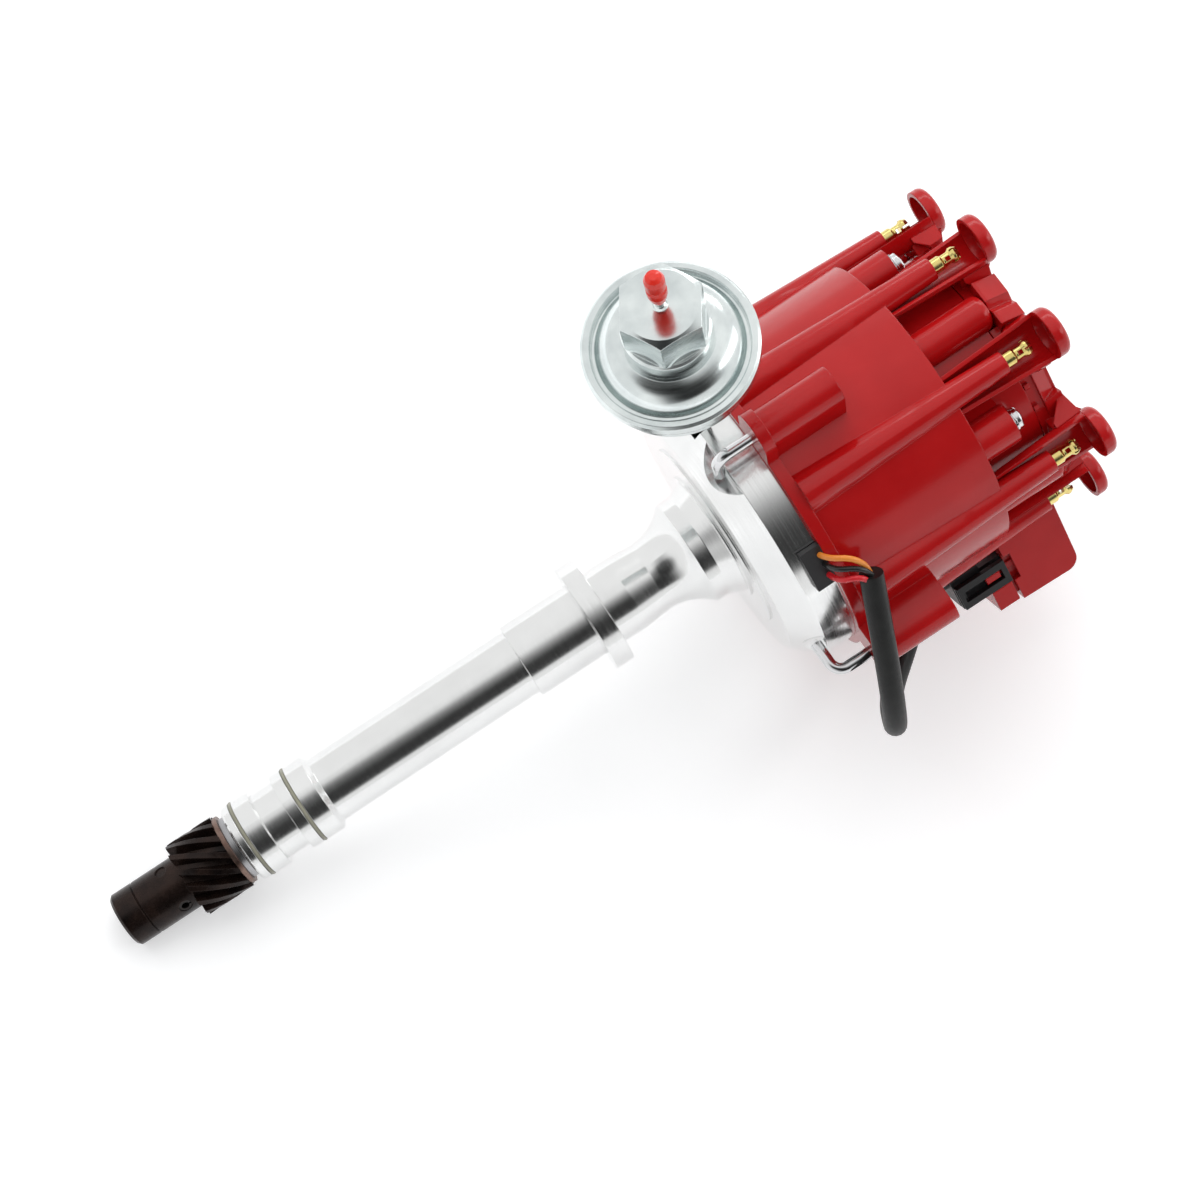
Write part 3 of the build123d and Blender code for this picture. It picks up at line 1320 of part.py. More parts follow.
with BuildPart() as can_rear:
    with BuildSketch(can_section):
        with BuildLine():
            Polyline(
                (can_back_x, vacuum_rod_d / 2 + running_gap),
                (can_back_x, rear_d / 2 - 4),
                (can_back_x + 3, rear_d / 2),
                (rear_lip_x, rear_d / 2),
                (rear_lip_x, can_d / 2 - can_wall - 0.1),
                (rear_lip_x + can_wall, can_d / 2 - can_wall - 0.1),
                (rear_lip_x + can_wall, rear_d / 2 - can_wall),
                (can_back_x + 3.4, rear_d / 2 - can_wall),
                (can_back_x + can_wall, rear_d / 2 - 4.4),
                (can_back_x + can_wall, vacuum_rod_d / 2 + running_gap),
                close=True,
            )
        make_face()
    revolve(axis=can_axis)
can_rear.part.label = "can_rear"
export_step(can_rear.part, "parts/can_rear.step")

dome_foot_r = can_lip_inner_d / 2 - 2
with BuildPart() as can_front:
    with BuildSketch(can_section):
        with BuildLine():
            Polyline(
                (nose_base_x, 8),
                (nose_base_x, nose_base_d / 2 + 1),
            )
            ThreePointArc(
                (nose_base_x, nose_base_d / 2 + 1),
                (nose_base_x - 2.4, (nose_base_d / 2 + dome_foot_r) / 2 + 1),
                (can_front_x - 0.6, dome_foot_r),
            )
            Polyline(
                (can_front_x - 0.6, dome_foot_r),
                (can_front_x - 1.6, dome_foot_r + 0.5),
                (can_front_x - 1.8, can_lip_inner_d / 2),
                (can_front_x - 0.2, can_lip_inner_d / 2),
                (can_front_x, can_lip_inner_d / 2 + 0.4),
                (can_front_x, can_d / 2 - 0.9),
                (can_front_x - 0.9, can_d / 2),
                (rear_lip_x - can_wall, can_d / 2),
                (rear_lip_x - can_wall, can_d / 2 - can_wall),
                (rear_lip_x + can_wall + 0.02, can_d / 2 - can_wall),
                (rear_lip_x + can_wall + 0.02, dome_foot_r - 1),
                (nose_base_x - can_wall - 1, nose_base_d / 2),
                (nose_base_x - can_wall, nose_base_d / 2 - 2),
                (nose_base_x - can_wall, 8),
                (nose_base_x, 8),
            )
        make_face()
    revolve(axis=can_axis)
can_front.part.label = "can_front"
export_step(can_front.part, "parts/can_front.step")

diaphragm_x = can_back_x + 5
with BuildPart() as diaphragm:
    with BuildSketch(can_section):
        with BuildLine():
            Polyline(
                (diaphragm_x, 0),
                (diaphragm_x, 14),
                (diaphragm_x + 2, 16),
                (diaphragm_x + 2, rear_d / 2 - can_wall - 0.3),
                (diaphragm_x + 3, rear_d / 2 - can_wall - 0.3),
                (diaphragm_x + 3, 15.5),
                (diaphragm_x + 1.2, 13.5),
                (diaphragm_x + 1.2, 0),
                close=True,
            )
        make_face()
    revolve(axis=can_axis)
diaphragm.part.label = "diaphragm"
export_step(diaphragm.part, "parts/diaphragm.step")

with BuildPart() as vacuum_rod:
    with BuildSketch(Plane(origin=(rod_pin_x + 3, can_y, can_z), x_dir=(0, 1, 0), z_dir=(1, 0, 0))):
        Circle(vacuum_rod_d / 2)
    extrude(amount=diaphragm_x - rod_pin_x - 3)
    with BuildSketch(Plane.XY.offset(can_z - 0.8)):
        with Locations((rod_pin_x, can_y)):
            Circle(3.8)
            Circle(1.6, mode=Mode.SUBTRACT)
    extrude(amount=1.6)
    with BuildSketch(Plane.XY.offset(can_z - 2)):
        with Locations((rod_pin_x, can_y)):
            Circle(1.6)
    extrude(amount=4, mode=Mode.SUBTRACT)
vacuum_rod.part.label = "vacuum_rod"
export_step(vacuum_rod.part, "parts/vacuum_rod.step")

vacuum_spring_wire = 1.2
vacuum_spring_x = diaphragm_x + 1.2 + vacuum_spring_wire / 2 + 0.1
vacuum_spring_length = nose_base_x - can_wall - 0.1 - vacuum_spring_wire / 2 - vacuum_spring_x
with BuildPart() as vacuum_spring:
    with BuildLine() as coil_path:
        Helix(
            vacuum_spring_length / 4,
            vacuum_spring_length,
            10.5,
            center=(vacuum_spring_x, can_y, can_z),
            direction=(1, 0, 0),
        )
    with BuildSketch(Plane(origin=coil_path.line @ 0, z_dir=coil_path.line % 0)):
        Rectangle(vacuum_spring_wire, vacuum_spring_wire)
    sweep(path=coil_path.line, is_frenet=True)
vacuum_spring.part.label = "vacuum_spring"
export_step(vacuum_spring.part, "parts/vacuum_spring.step")

hex_round_r = hex_flats / 2 / cos(radians(30))
with BuildPart() as vacuum_nose:
    with BuildSketch(can_section):
        with BuildLine():
            Polyline(
                (nose_base_x - can_wall, 0),
                (nose_base_x - can_wall, 8 - seat_gap),
                (nose_base_x, 8 - seat_gap),
                (nose_base_x, nose_base_d / 2),
                (hex_base_x - 0.8, nose_base_d / 2),
                (hex_base_x, nose_base_d / 2 - 0.8),
                (hex_base_x, 0),
                close=True,
            )
        make_face()
    revolve(axis=can_axis)
    with BuildSketch(Plane(origin=(hex_base_x, can_y, can_z), x_dir=(0, 1, 0), z_dir=(1, 0, 0))):
        RegularPolygon(hex_round_r, 6, rotation=hex_turn)
    extrude(amount=hex_top_x - hex_base_x)
    # chamfered hex corners
    with BuildSketch(can_section):
        with BuildLine():
            Polyline(
                (hex_top_x - 2.2, hex_round_r + 1),
                (hex_top_x - 1.4, hex_round_r),
                (hex_top_x, hex_flats / 2 - 0.9),
                (hex_top_x + 1, hex_flats / 2 - 0.9),
                (hex_top_x + 1, hex_round_r + 1),
                close=True,
            )
        make_face()
    revolve(axis=can_axis, mode=Mode.SUBTRACT)
    with BuildSketch(can_section):
        with BuildLine():
            Polyline(
                (hex_top_x, 0),
                (hex_top_x, 2.4),
                (hex_top_x + 0.8, 1.9),
                (hex_top_x + 1.2, nipple_d / 2),
                (hex_top_x + nipple_length, nipple_d / 2),
                (hex_top_x + nipple_length, 0),
                close=True,
            )
        make_face()
    revolve(axis=can_axis)
vacuum_nose.part.label = "vacuum_nose"
export_step(vacuum_nose.part, "parts/vacuum_nose.step")

nipple_cap_r = nipple_cap_d / 2
nipple_cap_waist_x = (nipple_cap_x + nipple_cap_end_x) / 2 + 1.2
with BuildPart() as nipple_cap:
    with BuildSketch(can_section):
        with BuildLine():
            Polyline(
                (nipple_cap_x, nipple_d / 2 + seat_gap),
                (nipple_cap_x, nipple_cap_r - 1.4),
                (nipple_cap_x + 3, nipple_cap_r - 0.5),
                (nipple_cap_x + 6, nipple_cap_r),
                (nipple_cap_waist_x - 1.2, nipple_cap_r),
                (nipple_cap_waist_x - 0.4, nipple_cap_r - 0.5),
                (nipple_cap_waist_x + 0.4, nipple_cap_r - 0.5),
                (nipple_cap_waist_x + 1.2, nipple_cap_r),
                (nipple_cap_end_x - 2.4, nipple_cap_r),
                (nipple_cap_end_x - 0.7, nipple_cap_r - 0.7),
                (nipple_cap_end_x, nipple_cap_r - 2),
                (nipple_cap_end_x, 0),
                (hex_top_x + nipple_length + seat_gap, 0),
                (hex_top_x + nipple_length + seat_gap, nipple_d / 2 + seat_gap),
                close=True,
            )
        make_face()
    revolve(axis=can_axis)
nipple_cap.part.label = "nipple_cap"
export_step(nipple_cap.part, "parts/nipple_cap.step")

# ---------------------------------------------------------------- harness
grommet_top_z = bowl_rim_z - seat_gap
grommet_face_r = bowl_d / 2 + 2.8
with BuildPart() as harness_grommet:
    with BuildSketch(radial_plane(grommet_angle, grommet_bottom_z + 0.8 + seat_gap)):
        with Locations(((bowl_inner_d + bowl_d) / 4, 0)):
            Rectangle(bowl_wall + 2, grommet_width - 2.4 - 2 * seat_gap)
    extrude(amount=grommet_top_z - grommet_bottom_z - 0.8 - seat_gap)
    with BuildSketch(radial_plane(grommet_angle, grommet_bottom_z)):
        with Locations(((bowl_d / 2 + grommet_face_r) / 2 + 0.02, 0)):
            Rectangle(grommet_face_r - bowl_d / 2, grommet_width)
    extrude(amount=grommet_top_z - grommet_bottom_z)
    with BuildSketch(Plane.XY.offset(grommet_bottom_z)):
        Circle(bowl_d / 2 + 0.02)
        Circle(bowl_inner_d / 2, mode=Mode.SUBTRACT)
    extrude(amount=0.8, mode=Mode.SUBTRACT)
harness_grommet.part.label = "harness_grommet"
export_step(harness_grommet.part, "parts/harness_grommet.step")

sleeve_end_z = 112.0
sleeve_points = [
    (39.7, 53.8, 86.0),
    (19.0, 71.0, 79.0),
    (-5.0, 86.0, 72.5),
    (-28.0, 90.0, 70.6),
    (-45.6, 74.0, 78.1),
    (-53.5, 60.0, 95.5),
    (-46.9, 46.9, sleeve_end_z),
]
wire_points = {
    "wire_orange": [
        (35.1, 31.3, 70.3),
        (40.7, 36.3, 74.2),
        (48.2, 43.6, 75.5),
        (47.5, 48.5, 83.5),
        (38.7, 53.0, 86.9),
        (32.0, 58.5, 84.6),
    ],
    "wire_black": [
        (33.2, 33.2, 70.6),
        (38.5, 38.5, 74.4),
        (45.2, 47.3, 75.3),
        (44.6, 51.6, 83.5),
        (38.5, 55.9, 86.8),
        (32.9, 60.5, 84.9),
    ],
    "wire_red": [
        (30.5, 35.8, 70.2),
        (35.3, 41.5, 74.1),
        (41.9, 50.6, 74.9),
        (43.8, 53.8, 81.5),
        (38.8, 56.2, 84.5),
        (34.1, 60.1, 82.9),
    ],
}
with BuildPart() as harness_sleeve:
    with BuildLine() as cord_path:
        FilletPolyline(*sleeve_points, radius=cord_radii(sleeve_points))
    with BuildSketch(Plane(origin=cord_path.line @ 0, z_dir=cord_path.line % 0)):
        Circle(sleeve_tube_d / 2)
    sweep(path=cord_path.line)
print("harness_sleeve radii", [round(radius, 1) for radius in cord_radii(sleeve_points)])
cord_length = sum(edge.length for edge in cord_path.edges())
print("harness_sleeve length", round(cord_length, 1), "volume", round(harness_sleeve.part.volume))
harness_sleeve.part.label = "harness_sleeve"
export_step(harness_sleeve.part, "parts/harness_sleeve.step")

for name, points in wire_points.items():
    with BuildPart() as wire:
        with BuildLine() as cord_path:
            FilletPolyline(*points, radius=cord_radii(points))
        with BuildSketch(Plane(origin=cord_path.line @ 0, z_dir=cord_path.line % 0)):
            Circle(wire_d / 2)
        sweep(path=cord_path.line)
    print(name, "radii", [round(radius, 1) for radius in cord_radii(points)])
    cord_length = sum(edge.length for edge in cord_path.edges())
    print(name, "length", round(cord_length, 1), "volume", round(wire.part.volume, 1))
    wire.part.label = name
    export_step(wire.part, f"parts/{name}.step")

plug_bottom_z = 119.5
loop_top_z = 140.4
with BuildPart() as harness_plug:
    plug_plane = Plane(origin=(0, 0, plug_bottom_z), x_dir=connector_side.x_dir, z_dir=(0, 0, 1))
    with BuildSketch(plug_plane):
        with Locations((plug_r, 0)):
            RectangleRounded(plug_depth, connector_width - 5.6, 1.5)
    extrude(amount=plug_body_top_z - plug_bottom_z)
    with BuildSketch(plug_plane.offset(plug_body_top_z - plug_bottom_z)):
        with Locations((plug_nose_r, 0)):
            Rectangle(plug_nose[0], plug_nose[1])
    extrude(amount=connector_bottom_z + plug_nose[2] - plug_body_top_z)
    with BuildSketch(plug_plane):
        with Locations((plug_neck_r, 0)):
            Circle(sleeve_tube_d / 2 + 0.9)
    extrude(amount=sleeve_end_z - 2 - plug_bottom_z)
    # locking loop on the side
    with BuildSketch(connector_side.offset(0.4)):
        with Locations((loop_r, (plug_bottom_z + 0.5 + loop_top_z) / 2)):
            Rectangle(plug_loop_width, loop_top_z - plug_bottom_z - 0.5)
        with Locations((loop_r, (plug_bottom_z + 2 + loop_top_z - 2.1) / 2)):
            Rectangle(loop_window_width, loop_top_z - plug_bottom_z - 4.1, mode=Mode.SUBTRACT)
    extrude(amount=-2.2)
    with BuildSketch(connector_side.offset(-1)):
        with Locations((loop_r, plug_bottom_z + 1.7)):
            Rectangle(plug_loop_width, 3)
    extrude(amount=-3)
harness_plug.part.label = "harness_plug"
export_step(harness_plug.part, "parts/harness_plug.step")
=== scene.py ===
"""Ignition distributor: camera, finishes, cords, floor and light."""
import json
import math

import bpy
from mathutils import Matrix, Vector


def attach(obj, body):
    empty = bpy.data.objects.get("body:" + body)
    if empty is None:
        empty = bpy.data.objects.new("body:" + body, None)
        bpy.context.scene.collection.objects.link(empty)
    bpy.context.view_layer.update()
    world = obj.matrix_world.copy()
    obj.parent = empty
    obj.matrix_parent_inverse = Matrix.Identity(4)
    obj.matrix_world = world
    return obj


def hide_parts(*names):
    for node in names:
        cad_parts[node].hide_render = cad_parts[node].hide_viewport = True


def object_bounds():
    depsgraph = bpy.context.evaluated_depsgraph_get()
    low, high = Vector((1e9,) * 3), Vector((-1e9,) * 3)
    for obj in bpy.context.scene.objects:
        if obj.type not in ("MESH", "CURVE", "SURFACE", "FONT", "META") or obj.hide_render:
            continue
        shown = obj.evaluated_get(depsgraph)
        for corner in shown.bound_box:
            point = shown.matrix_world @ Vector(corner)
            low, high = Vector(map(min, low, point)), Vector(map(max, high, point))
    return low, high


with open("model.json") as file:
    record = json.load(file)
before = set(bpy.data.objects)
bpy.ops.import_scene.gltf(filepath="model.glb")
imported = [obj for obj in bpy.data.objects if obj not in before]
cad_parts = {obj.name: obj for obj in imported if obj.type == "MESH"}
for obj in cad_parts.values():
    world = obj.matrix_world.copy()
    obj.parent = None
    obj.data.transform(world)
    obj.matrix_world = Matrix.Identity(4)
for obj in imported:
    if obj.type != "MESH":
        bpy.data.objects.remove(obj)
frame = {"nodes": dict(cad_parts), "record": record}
cad_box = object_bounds()
nodes = frame["nodes"]
slot_of = {row["node"]: row["material_slot"] for row in frame["record"]["subparts"]}
scene = bpy.context.scene
MM = 0.001

# ------------------------------------------------------------------ camera
CAM_RIGHT = Vector((-0.122428, 0.536232, 0.835145))
CAM_UP = Vector((0.282245, -0.787919, 0.547285))
CAM_BACK = Vector((0.951499, 0.302718, -0.054885))
CAM_PLACE = Vector((0.837651, 0.263433, -0.040196))
SENSOR_WIDTH = 36.0
LENS = 74.38
CLIP_START = 0.01

camera = bpy.data.objects.new("camera", bpy.data.cameras.new("camera"))
scene.collection.objects.link(camera)
cam_turn = Matrix((CAM_RIGHT, CAM_UP, CAM_BACK)).transposed().to_4x4()
camera.matrix_world = Matrix.Translation(CAM_PLACE) @ cam_turn
camera.data.sensor_width = SENSOR_WIDTH
camera.data.sensor_fit = "HORIZONTAL"
camera.data.lens = LENS
camera.data.clip_start = CLIP_START
scene.camera = camera

# ------------------------------------------------------------------ node trees
WHITE = (1.0, 1.0, 1.0)
NOISE_BAND = (0.3, 0.7)  # where most of a noise texture's values lie
NOISE_ROUGHNESS = 0.5
# the Mix node's colour sockets, which share their names with its other ones
MIX_A, MIX_B, MIX_COLOUR = 6, 7, 2


class Graph:
    """The node tree of a material or world, and shorthand for filling it."""

    def __init__(self, owner, output="ShaderNodeOutputMaterial"):
        self.owner = owner
        owner.use_nodes = True
        self.tree = owner.node_tree
        self.tree.nodes.clear()
        self.out = self.add(output)

    def add(self, kind, inputs=None, **settings):
        """A node, with its inputs linked to outputs or set to constants."""
        node = self.tree.nodes.new(kind)
        for key, value in settings.items():
            setattr(node, key, value)
        for key, value in (inputs or {}).items():
            self.feed(node.inputs[key], value)
        return node

    def feed(self, socket, value):
        if isinstance(value, bpy.types.NodeSocket):
            self.tree.links.new(value, socket)
        elif socket.type == "RGBA":
            socket.default_value = (*value, 1.0)
        else:
            socket.default_value = value

    def place(self, scale=(1, 1, 1)):
        coords = self.add("ShaderNodeTexCoord").outputs["Object"]
        return self.add("ShaderNodeMapping", {"Vector": coords, "Scale": scale}).outputs["Vector"]

    def noise(self, scale, detail=3.0, stretch=(1, 1, 1)):
        inputs = {
            "Scale": scale,
            "Detail": detail,
            "Roughness": NOISE_ROUGHNESS,
            "Vector": self.place(stretch),
        }
        return self.add("ShaderNodeTexNoise", inputs).outputs["Fac"]

    def map_range(self, value, source, target, **settings):
        inputs = {
            "Value": value,
            "From Min": source[0],
            "From Max": source[1],
            "To Min": target[0],
            "To Max": target[1],
        }
        return self.add("ShaderNodeMapRange", inputs, **settings).outputs["Result"]

    def spread(self, noise, target):
        """Noise stretched over a range of values."""
        return self.map_range(noise, NOISE_BAND, target)

    def clouded(self, scale, low, high, detail=4.0):
        """A colour that drifts between two in soft clouds."""
        share = self.spread(self.noise(scale, detail), (0.0, 1.0))
        inputs = {"Factor": share, MIX_A: low, MIX_B: high}
        return self.add("ShaderNodeMix", inputs, data_type="RGBA").outputs[MIX_COLOUR]

    def bump(self, height, strength, depth, onto=None):
        inputs = {"Strength": strength, "Distance": depth, "Height": height}
        if onto is not None:
            inputs["Normal"] = onto
        return self.add("ShaderNodeBump", inputs).outputs["Normal"]

    def soft_edges(self, radius):
        """The surface's normal, rounded over its sharp edges."""
        return self.add("ShaderNodeBevel", {"Radius": radius}, samples=6).outputs["Normal"]

    def combine(self, operation, *values):
        """Values joined by one Math operation."""
        result = values[0]
        for value in values[1:]:
            node = self.add("ShaderNodeMath", {0: result, 1: value}, operation=operation)
            result = node.outputs[0]
        return result

    def either(self, share, first, second):
        """The first shader where share is 0 and the second where it is 1."""
        return self.add("ShaderNodeMixShader", {0: share, 1: first, 2: second}).outputs[0]

    def surface(self, color, roughness, normal, metallic=0.0, ior=1.5):
        inputs = {
            "Base Color": color,
            "Roughness": roughness,
            "Normal": normal,
            "Metallic": metallic,
            "IOR": ior,
        }
        self.finish(self.add("ShaderNodeBsdfPrincipled", inputs).outputs["BSDF"])

    def finish(self, shader):
        self.feed(self.out.inputs["Surface"], shader)


# ------------------------------------------------------------------ finishes
GRAIN = 900.0
GRAIN_DEPTH = 0.0002
FINE_GRAIN = 1800.0
FINE_GRAIN_SHARE = 0.4  # of the bump that the rings get
RING_DEPTH = 0.00001
RING_STRETCH = 0.004
WEAVE_DISTORTION = 1.5
WEAVE_BUMP = 0.12
WEAVE_DEPTH = 0.0001
WEAVE_CLOUD = 180.0
WEAVE_IOR = 1.32
FUZZ = 1400.0
FUZZ_BUMP = 0.2


def plain(g, low, high, rough, metallic=0.0, bump=0.12, cloud=60.0, edge=0.0003, ior=1.5):
    """A moulded, plated or cast finish: cloudy colour and a fine grain."""
    fine = g.noise(GRAIN)
    normal = g.bump(fine, bump, GRAIN_DEPTH, g.soft_edges(edge))
    g.surface(g.clouded(cloud, low, high), g.spread(fine, rough), normal, metallic, ior)


def turned(g, low, high, rough, axis=2, pitch=2600.0, bump=0.25, cloud=40.0, edge=0.0004):
    """Lathe-turned metal: fine rings along one axis over a soft cloud."""
    stretch = [RING_STRETCH] * 3
    stretch[axis] = 1.0
    rings = g.noise(pitch, 1.0, tuple(stretch))
    ringed = g.bump(rings, bump, RING_DEPTH, g.soft_edges(edge))
    normal = g.bump(g.noise(FINE_GRAIN, 2.0), bump * FINE_GRAIN_SHARE, RING_DEPTH, ringed)
    g.surface(g.clouded(cloud, low, high), g.spread(rings, rough), normal, metallic=1.0)


def wrapped(g, low, high, rough, scale):
    """Woven sleeving: two crossed sets of threads."""
    normal = None
    for crossing in ((1, 1, 1), (-1, 1, 1)):
        inputs = {
            "Scale": scale,
            "Distortion": WEAVE_DISTORTION,
            "Vector": g.place(crossing),
        }
        settings = {"wave_type": "BANDS", "bands_direction": "DIAGONAL"}
        threads = g.add("ShaderNodeTexWave", inputs, **settings).outputs["Fac"]
        normal = g.bump(threads, WEAVE_BUMP, WEAVE_DEPTH, normal)
    fine = g.noise(FUZZ)
    color = g.clouded(WEAVE_CLOUD, low, high, detail=3.0)
    fuzzy = g.bump(fine, FUZZ_BUMP, GRAIN_DEPTH, normal)
    g.surface(color, g.spread(fine, rough), fuzzy, ior=WEAVE_IOR)


# name: kind, darker colour, lighter colour, roughness from and to, what differs
FINISHES = {
    "red_plastic": (
        plain, (0.46, 0.005, 0.006), (0.52, 0.008, 0.009), (0.14, 0.21),
        {"bump": 0.02, "edge": 0.0006, "ior": 1.42},
    ),
    "cast_aluminium": (
        turned, (0.75, 0.755, 0.75), (0.82, 0.825, 0.82), (0.14, 0.24),
        {"bump": 0.5},
    ),
    "zinc_plate": (
        turned, (0.60, 0.65, 0.65), (0.78, 0.83, 0.82), (0.13, 0.22),
        {"axis": 0, "cloud": 110.0},
    ),
    "steel": (
        plain, (0.50, 0.50, 0.51), (0.62, 0.62, 0.63), (0.28, 0.42),
        {"metallic": 1.0},
    ),
    "sintered_steel": (
        plain, (0.20, 0.20, 0.21), (0.30, 0.30, 0.31), (0.45, 0.60),
        {"metallic": 1.0},
    ),
    "gear_steel": (
        plain, (0.006, 0.004, 0.004), (0.030, 0.017, 0.013), (0.20, 0.34),
        {"metallic": 0.5, "cloud": 140.0, "ior": 1.35},
    ),
    "dark_steel": (
        plain, (0.020, 0.017, 0.016), (0.050, 0.044, 0.042), (0.32, 0.46),
        {"metallic": 0.8},
    ),
    "shim_steel": (turned, (0.30, 0.30, 0.31), (0.45, 0.45, 0.46), (0.25, 0.40), {}),
    "copper_washer": (
        plain, (0.13, 0.075, 0.06), (0.26, 0.18, 0.15), (0.30, 0.45),
        {"metallic": 1.0, "cloud": 200.0},
    ),
    "bronze": (turned, (0.50, 0.34, 0.18), (0.60, 0.44, 0.25), (0.30, 0.45), {}),
    "brass": (
        turned, (0.66, 0.52, 0.17), (0.80, 0.66, 0.26), (0.14, 0.24),
        {"pitch": 3000.0, "edge": 0.0002},
    ),
    "bright_steel": (turned, (0.60, 0.60, 0.61), (0.74, 0.74, 0.75), (0.07, 0.14), {}),
    "spring_steel": (
        plain, (0.07, 0.07, 0.07), (0.14, 0.14, 0.14), (0.25, 0.35),
        {"metallic": 1.0},
    ),
    "black_plastic": (
        plain, (0.006, 0.006, 0.007), (0.012, 0.012, 0.013), (0.32, 0.46),
        {"bump": 0.08},
    ),
    "core_steel": (
        plain, (0.12, 0.12, 0.13), (0.20, 0.20, 0.21), (0.40, 0.60),
        {"metallic": 0.8},
    ),
    "winding": (plain, (0.18, 0.08, 0.04), (0.27, 0.13, 0.06), (0.30, 0.50), {}),
    "magnet": (plain, (0.05, 0.05, 0.05), (0.08, 0.08, 0.08), (0.60, 0.75), {}),
    "black_rubber": (plain, (0.010, 0.010, 0.011), (0.018, 0.018, 0.020), (0.34, 0.50), {}),
    "seal_rubber": (plain, (0.26, 0.25, 0.19), (0.34, 0.33, 0.25), (0.28, 0.40), {}),
    "sleeve_weave": (
        wrapped, (0.006, 0.006, 0.006), (0.012, 0.013, 0.012), (0.36, 0.50),
        {"scale": 420.0},
    ),
    "cap_rubber": (
        plain, (0.80, 0.025, 0.015), (0.88, 0.04, 0.02), (0.12, 0.20),
        {"bump": 0.03},
    ),
    "wire_orange": (plain, (0.84, 0.26, 0.035), (0.92, 0.33, 0.05), (0.20, 0.30), {}),
    "wire_black": (plain, (0.012, 0.012, 0.012), (0.02, 0.02, 0.02), (0.20, 0.30), {}),
    "wire_red": (plain, (0.62, 0.012, 0.02), (0.72, 0.02, 0.03), (0.20, 0.30), {}),
    "carbon": (plain, (0.03, 0.03, 0.03), (0.05, 0.05, 0.05), (0.50, 0.70), {}),
}
# the one node whose finish isn't its slot's: the pin is about as dark as its gear
FINISH_OF_NODE = {"gear_roll_pin": "dark_steel"}

materials = {}
for name, (kind, low, high, rough, extra) in FINISHES.items():
    materials[name] = bpy.data.materials.new(name)
    kind(Graph(materials[name]), low, high, rough, **extra)

for name, obj in nodes.items():
    obj.data.materials.clear()
    obj.data.materials.append(materials[FINISH_OF_NODE.get(name, slot_of[name])])

# ------------------------------------------------------------------ harness
# node: diameter and length in metres, then the points of its route in millimetres
WIRE_DIAMETER = 0.0021
SLEEVE_DIAMETER = 0.0085
CORDS = {
    "wire_orange": (
        WIRE_DIAMETER,
        0.0459,
        (
            (35.1, 31.3, 70.3),
            (40.7, 36.3, 74.2),
            (48.2, 43.6, 75.5),
            (47.5, 48.5, 83.5),
            (38.7, 53.0, 86.9),
            (32.0, 58.5, 84.6),
        ),
    ),
    "wire_black": (
        WIRE_DIAMETER,
        0.0426,
        (
            (33.2, 33.2, 70.6),
            (38.5, 38.5, 74.4),
            (45.2, 47.3, 75.3),
            (44.6, 51.6, 83.5),
            (38.5, 55.9, 86.8),
            (32.9, 60.5, 84.9),
        ),
    ),
    "wire_red": (
        WIRE_DIAMETER,
        0.0382,
        (
            (30.5, 35.8, 70.2),
            (35.3, 41.5, 74.1),
            (41.9, 50.6, 74.9),
            (43.8, 53.8, 81.5),
            (38.8, 56.2, 84.5),
            (34.1, 60.1, 82.9),
        ),
    ),
    "harness_sleeve": (
        SLEEVE_DIAMETER,
        0.1476,
        (
            (39.7, 53.8, 86.0),
            (19.0, 71.0, 79.0),
            (-5.0, 86.0, 72.5),
            (-28.0, 90.0, 70.6),
            (-45.6, 74.0, 78.1),
            (-53.5, 60.0, 95.5),
            (-46.9, 46.9, 112.0),
        ),
    ),
}
SECTION_STEPS = 6
ROUTE_STEPS = 12
SPLINE_ORDER = 3


def draw_cord(node, diameter, points):
    """One smooth spline through the route's own points, with a round section."""
    curve = bpy.data.curves.new(node + "_cord", "CURVE")
    curve.dimensions = "3D"
    curve.bevel_depth = diameter / 2
    curve.bevel_resolution = SECTION_STEPS
    curve.resolution_u = ROUTE_STEPS
    curve.use_fill_caps = True
    spline = curve.splines.new("NURBS")
    spline.points.add(len(points) - 1)
    for control, point in zip(spline.points, points):
        control.co = (*(v * MM for v in point), 1.0)
    spline.order_u = SPLINE_ORDER
    spline.use_endpoint_u = True
    obj = bpy.data.objects.new(node + "_cord", curve)
    scene.collection.objects.link(obj)
    curve.materials.append(materials[slot_of[node]])
    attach(obj, "body")
    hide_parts(node)


for node, (diameter, length, points) in CORDS.items():
    draw_cord(node, diameter, points)

# ------------------------------------------------------------------ floor
# the object lies on a floor behind it; seen from its back the floor is clear
FLOOR_NORMAL = Vector((0.970, 0.0, 0.243))
FLOOR_OFFSET = -0.0546
FLOOR_HALF = 3.0
FLOOR_COLOUR = (0.80, 0.80, 0.80)
# where the lamps no longer keep the floor white, it glows more
GLOW_DISTANCE = (0.55, 1.6)
GLOW_STRENGTH = (0.42, 0.80)

floor_mesh = bpy.data.meshes.new("floor")
corners = [(x * FLOOR_HALF, y * FLOOR_HALF, 0) for x, y in ((-1, -1), (1, -1), (1, 1), (-1, 1))]
floor_mesh.from_pydata(corners, [], [(0, 1, 2, 3)])
floor = bpy.data.objects.new("floor", floor_mesh)
scene.collection.objects.link(floor)
floor_turn = FLOOR_NORMAL.to_track_quat("Z", "Y").to_matrix().to_4x4()
floor.matrix_world = Matrix.Translation(FLOOR_NORMAL * FLOOR_OFFSET) @ floor_turn

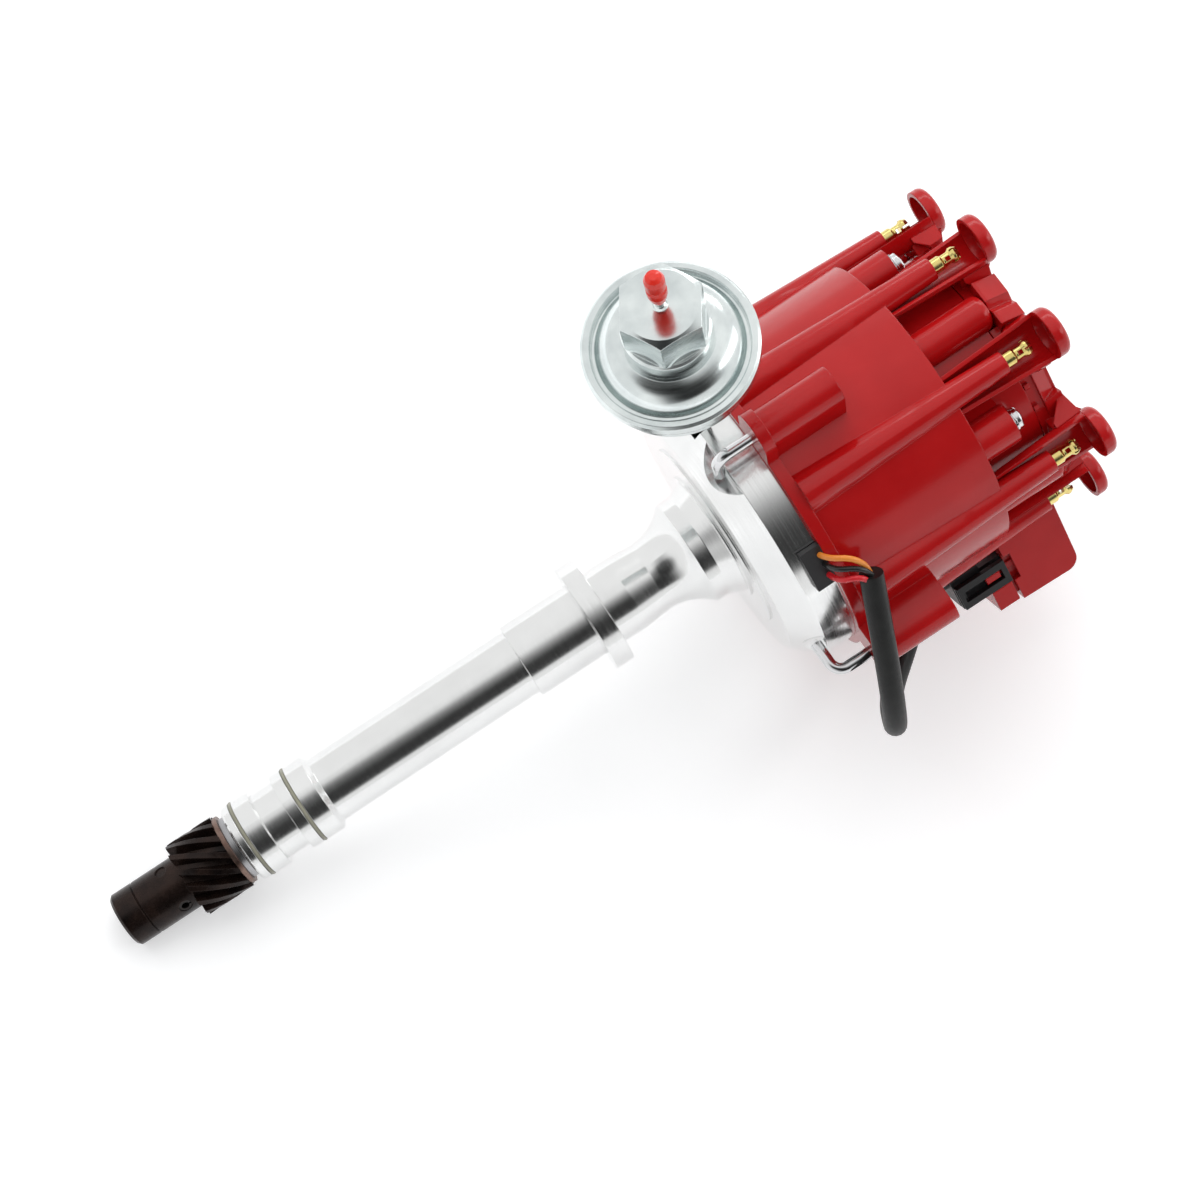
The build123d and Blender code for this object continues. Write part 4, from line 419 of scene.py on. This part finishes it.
g = Graph(bpy.data.materials.new("floor"))
geometry = g.add("ShaderNodeNewGeometry").outputs
distance = g.add("ShaderNodeVectorMath", {0: geometry["Position"]}, operation="LENGTH")
strength = g.map_range(
    distance.outputs["Value"], GLOW_DISTANCE, GLOW_STRENGTH, interpolation_type="SMOOTHSTEP"
)
lit = g.add("ShaderNodeBsdfDiffuse", {"Color": FLOOR_COLOUR}).outputs[0]
glow = g.add("ShaderNodeEmission", {"Color": WHITE, "Strength": strength}).outputs[0]
glowing = g.add("ShaderNodeAddShader", {0: lit, 1: glow}).outputs[0]
ray = g.add("ShaderNodeLightPath").outputs
seen = g.combine(
    "MAXIMUM", ray["Is Camera Ray"], ray["Is Glossy Ray"], ray["Is Transmission Ray"]
)
clear = g.add("ShaderNodeBsdfTransparent").outputs[0]
g.finish(g.either(geometry["Backfacing"], g.either(seen, lit, glowing), clear))
floor_mesh.materials.append(g.owner)

# ------------------------------------------------------------------ world
SKY_COLOUR = (0.97, 0.98, 1.0)
SKY_STRENGTH = 0.55

scene.world = bpy.data.worlds.new("world")
g = Graph(scene.world, "ShaderNodeOutputWorld")
mirrored_way = g.add("ShaderNodeTexCoord").outputs["Generated"]


def heading(azimuth, height):
    """The unit vector toward this azimuth and height, both in degrees."""
    a, h = math.radians(azimuth), math.radians(height)
    return (math.cos(a) * math.cos(h), math.sin(a) * math.cos(h), math.sin(h))


def towards(direction, far, near):
    """A level that changes smoothly as a ray nears a direction.

    far and near are each a cosine to the direction and the level there.
    """
    dot = g.add("ShaderNodeVectorMath", {0: mirrored_way, 1: direction}, operation="DOT_PRODUCT")
    cosines, levels = zip(far, near)
    return g.map_range(dot.outputs["Value"], cosines, levels, interpolation_type="SMOOTHSTEP")


# what metal mirrors: a white room with two dark places, cut off on one side
dark_along_shaft = towards(heading(54, -4), far=(0.62, 1.0), near=(0.985, 0.03))
dark_on_can = towards(heading(16, -24), far=(0.86, 1.0), near=(0.975, 0.08))
cut_off = towards(heading(162, 0), far=(-0.03, 0.0), near=(0.05, 0.95))
dark_places = g.combine("MULTIPLY", dark_along_shaft, dark_on_can)
room_level = g.combine("MAXIMUM", dark_places, cut_off)


def background(color, strength):
    return g.add("ShaderNodeBackground", {"Color": color, "Strength": strength}).outputs[0]


sky = background(SKY_COLOUR, SKY_STRENGTH)
room = background(WHITE, room_level)
white = background(WHITE, 1.0)
ray = g.add("ShaderNodeLightPath").outputs
looked_at = g.combine("MAXIMUM", ray["Is Camera Ray"], ray["Is Transmission Ray"])
g.finish(g.either(looked_at, g.either(ray["Is Glossy Ray"], sky, room), white))

# ------------------------------------------------------------------ lamps
AIM = Vector((0.0, 0.0, 0.02))
# name: direction along the camera's back, up and right, distance, width, height,
# power in watts, and whether glossy surfaces mirror the lamp
LAMPS = {
    "key": ((0.75, 0.85, -0.35), 1.7, 1.7, 1.7, 13.0, False),
    "rim": ((0.25, 1.0, 0.2), 1.2, 0.22, 1.0, 2.2, True),
    "strip": ((0.5, 0.35, 1.0), 1.3, 0.3, 1.2, 2.4, True),
}

for name, ((back, up, right), distance, width, height, power, in_mirrors) in LAMPS.items():
    data = bpy.data.lights.new(name, "AREA")
    data.energy = power
    data.shape = "RECTANGLE"
    data.size = width
    data.size_y = height
    obj = bpy.data.objects.new(name, data)
    scene.collection.objects.link(obj)
    way = (CAM_BACK * back + CAM_UP * up + CAM_RIGHT * right).normalized()
    obj.location = AIM + way * distance
    obj.rotation_euler = (-way).to_track_quat("-Z", "Y").to_euler()
    obj.visible_glossy = in_mirrors

scene.view_settings.view_transform = "Standard"

# ------------------------------------------------------------------ size of the CAD model
low, high = cad_box
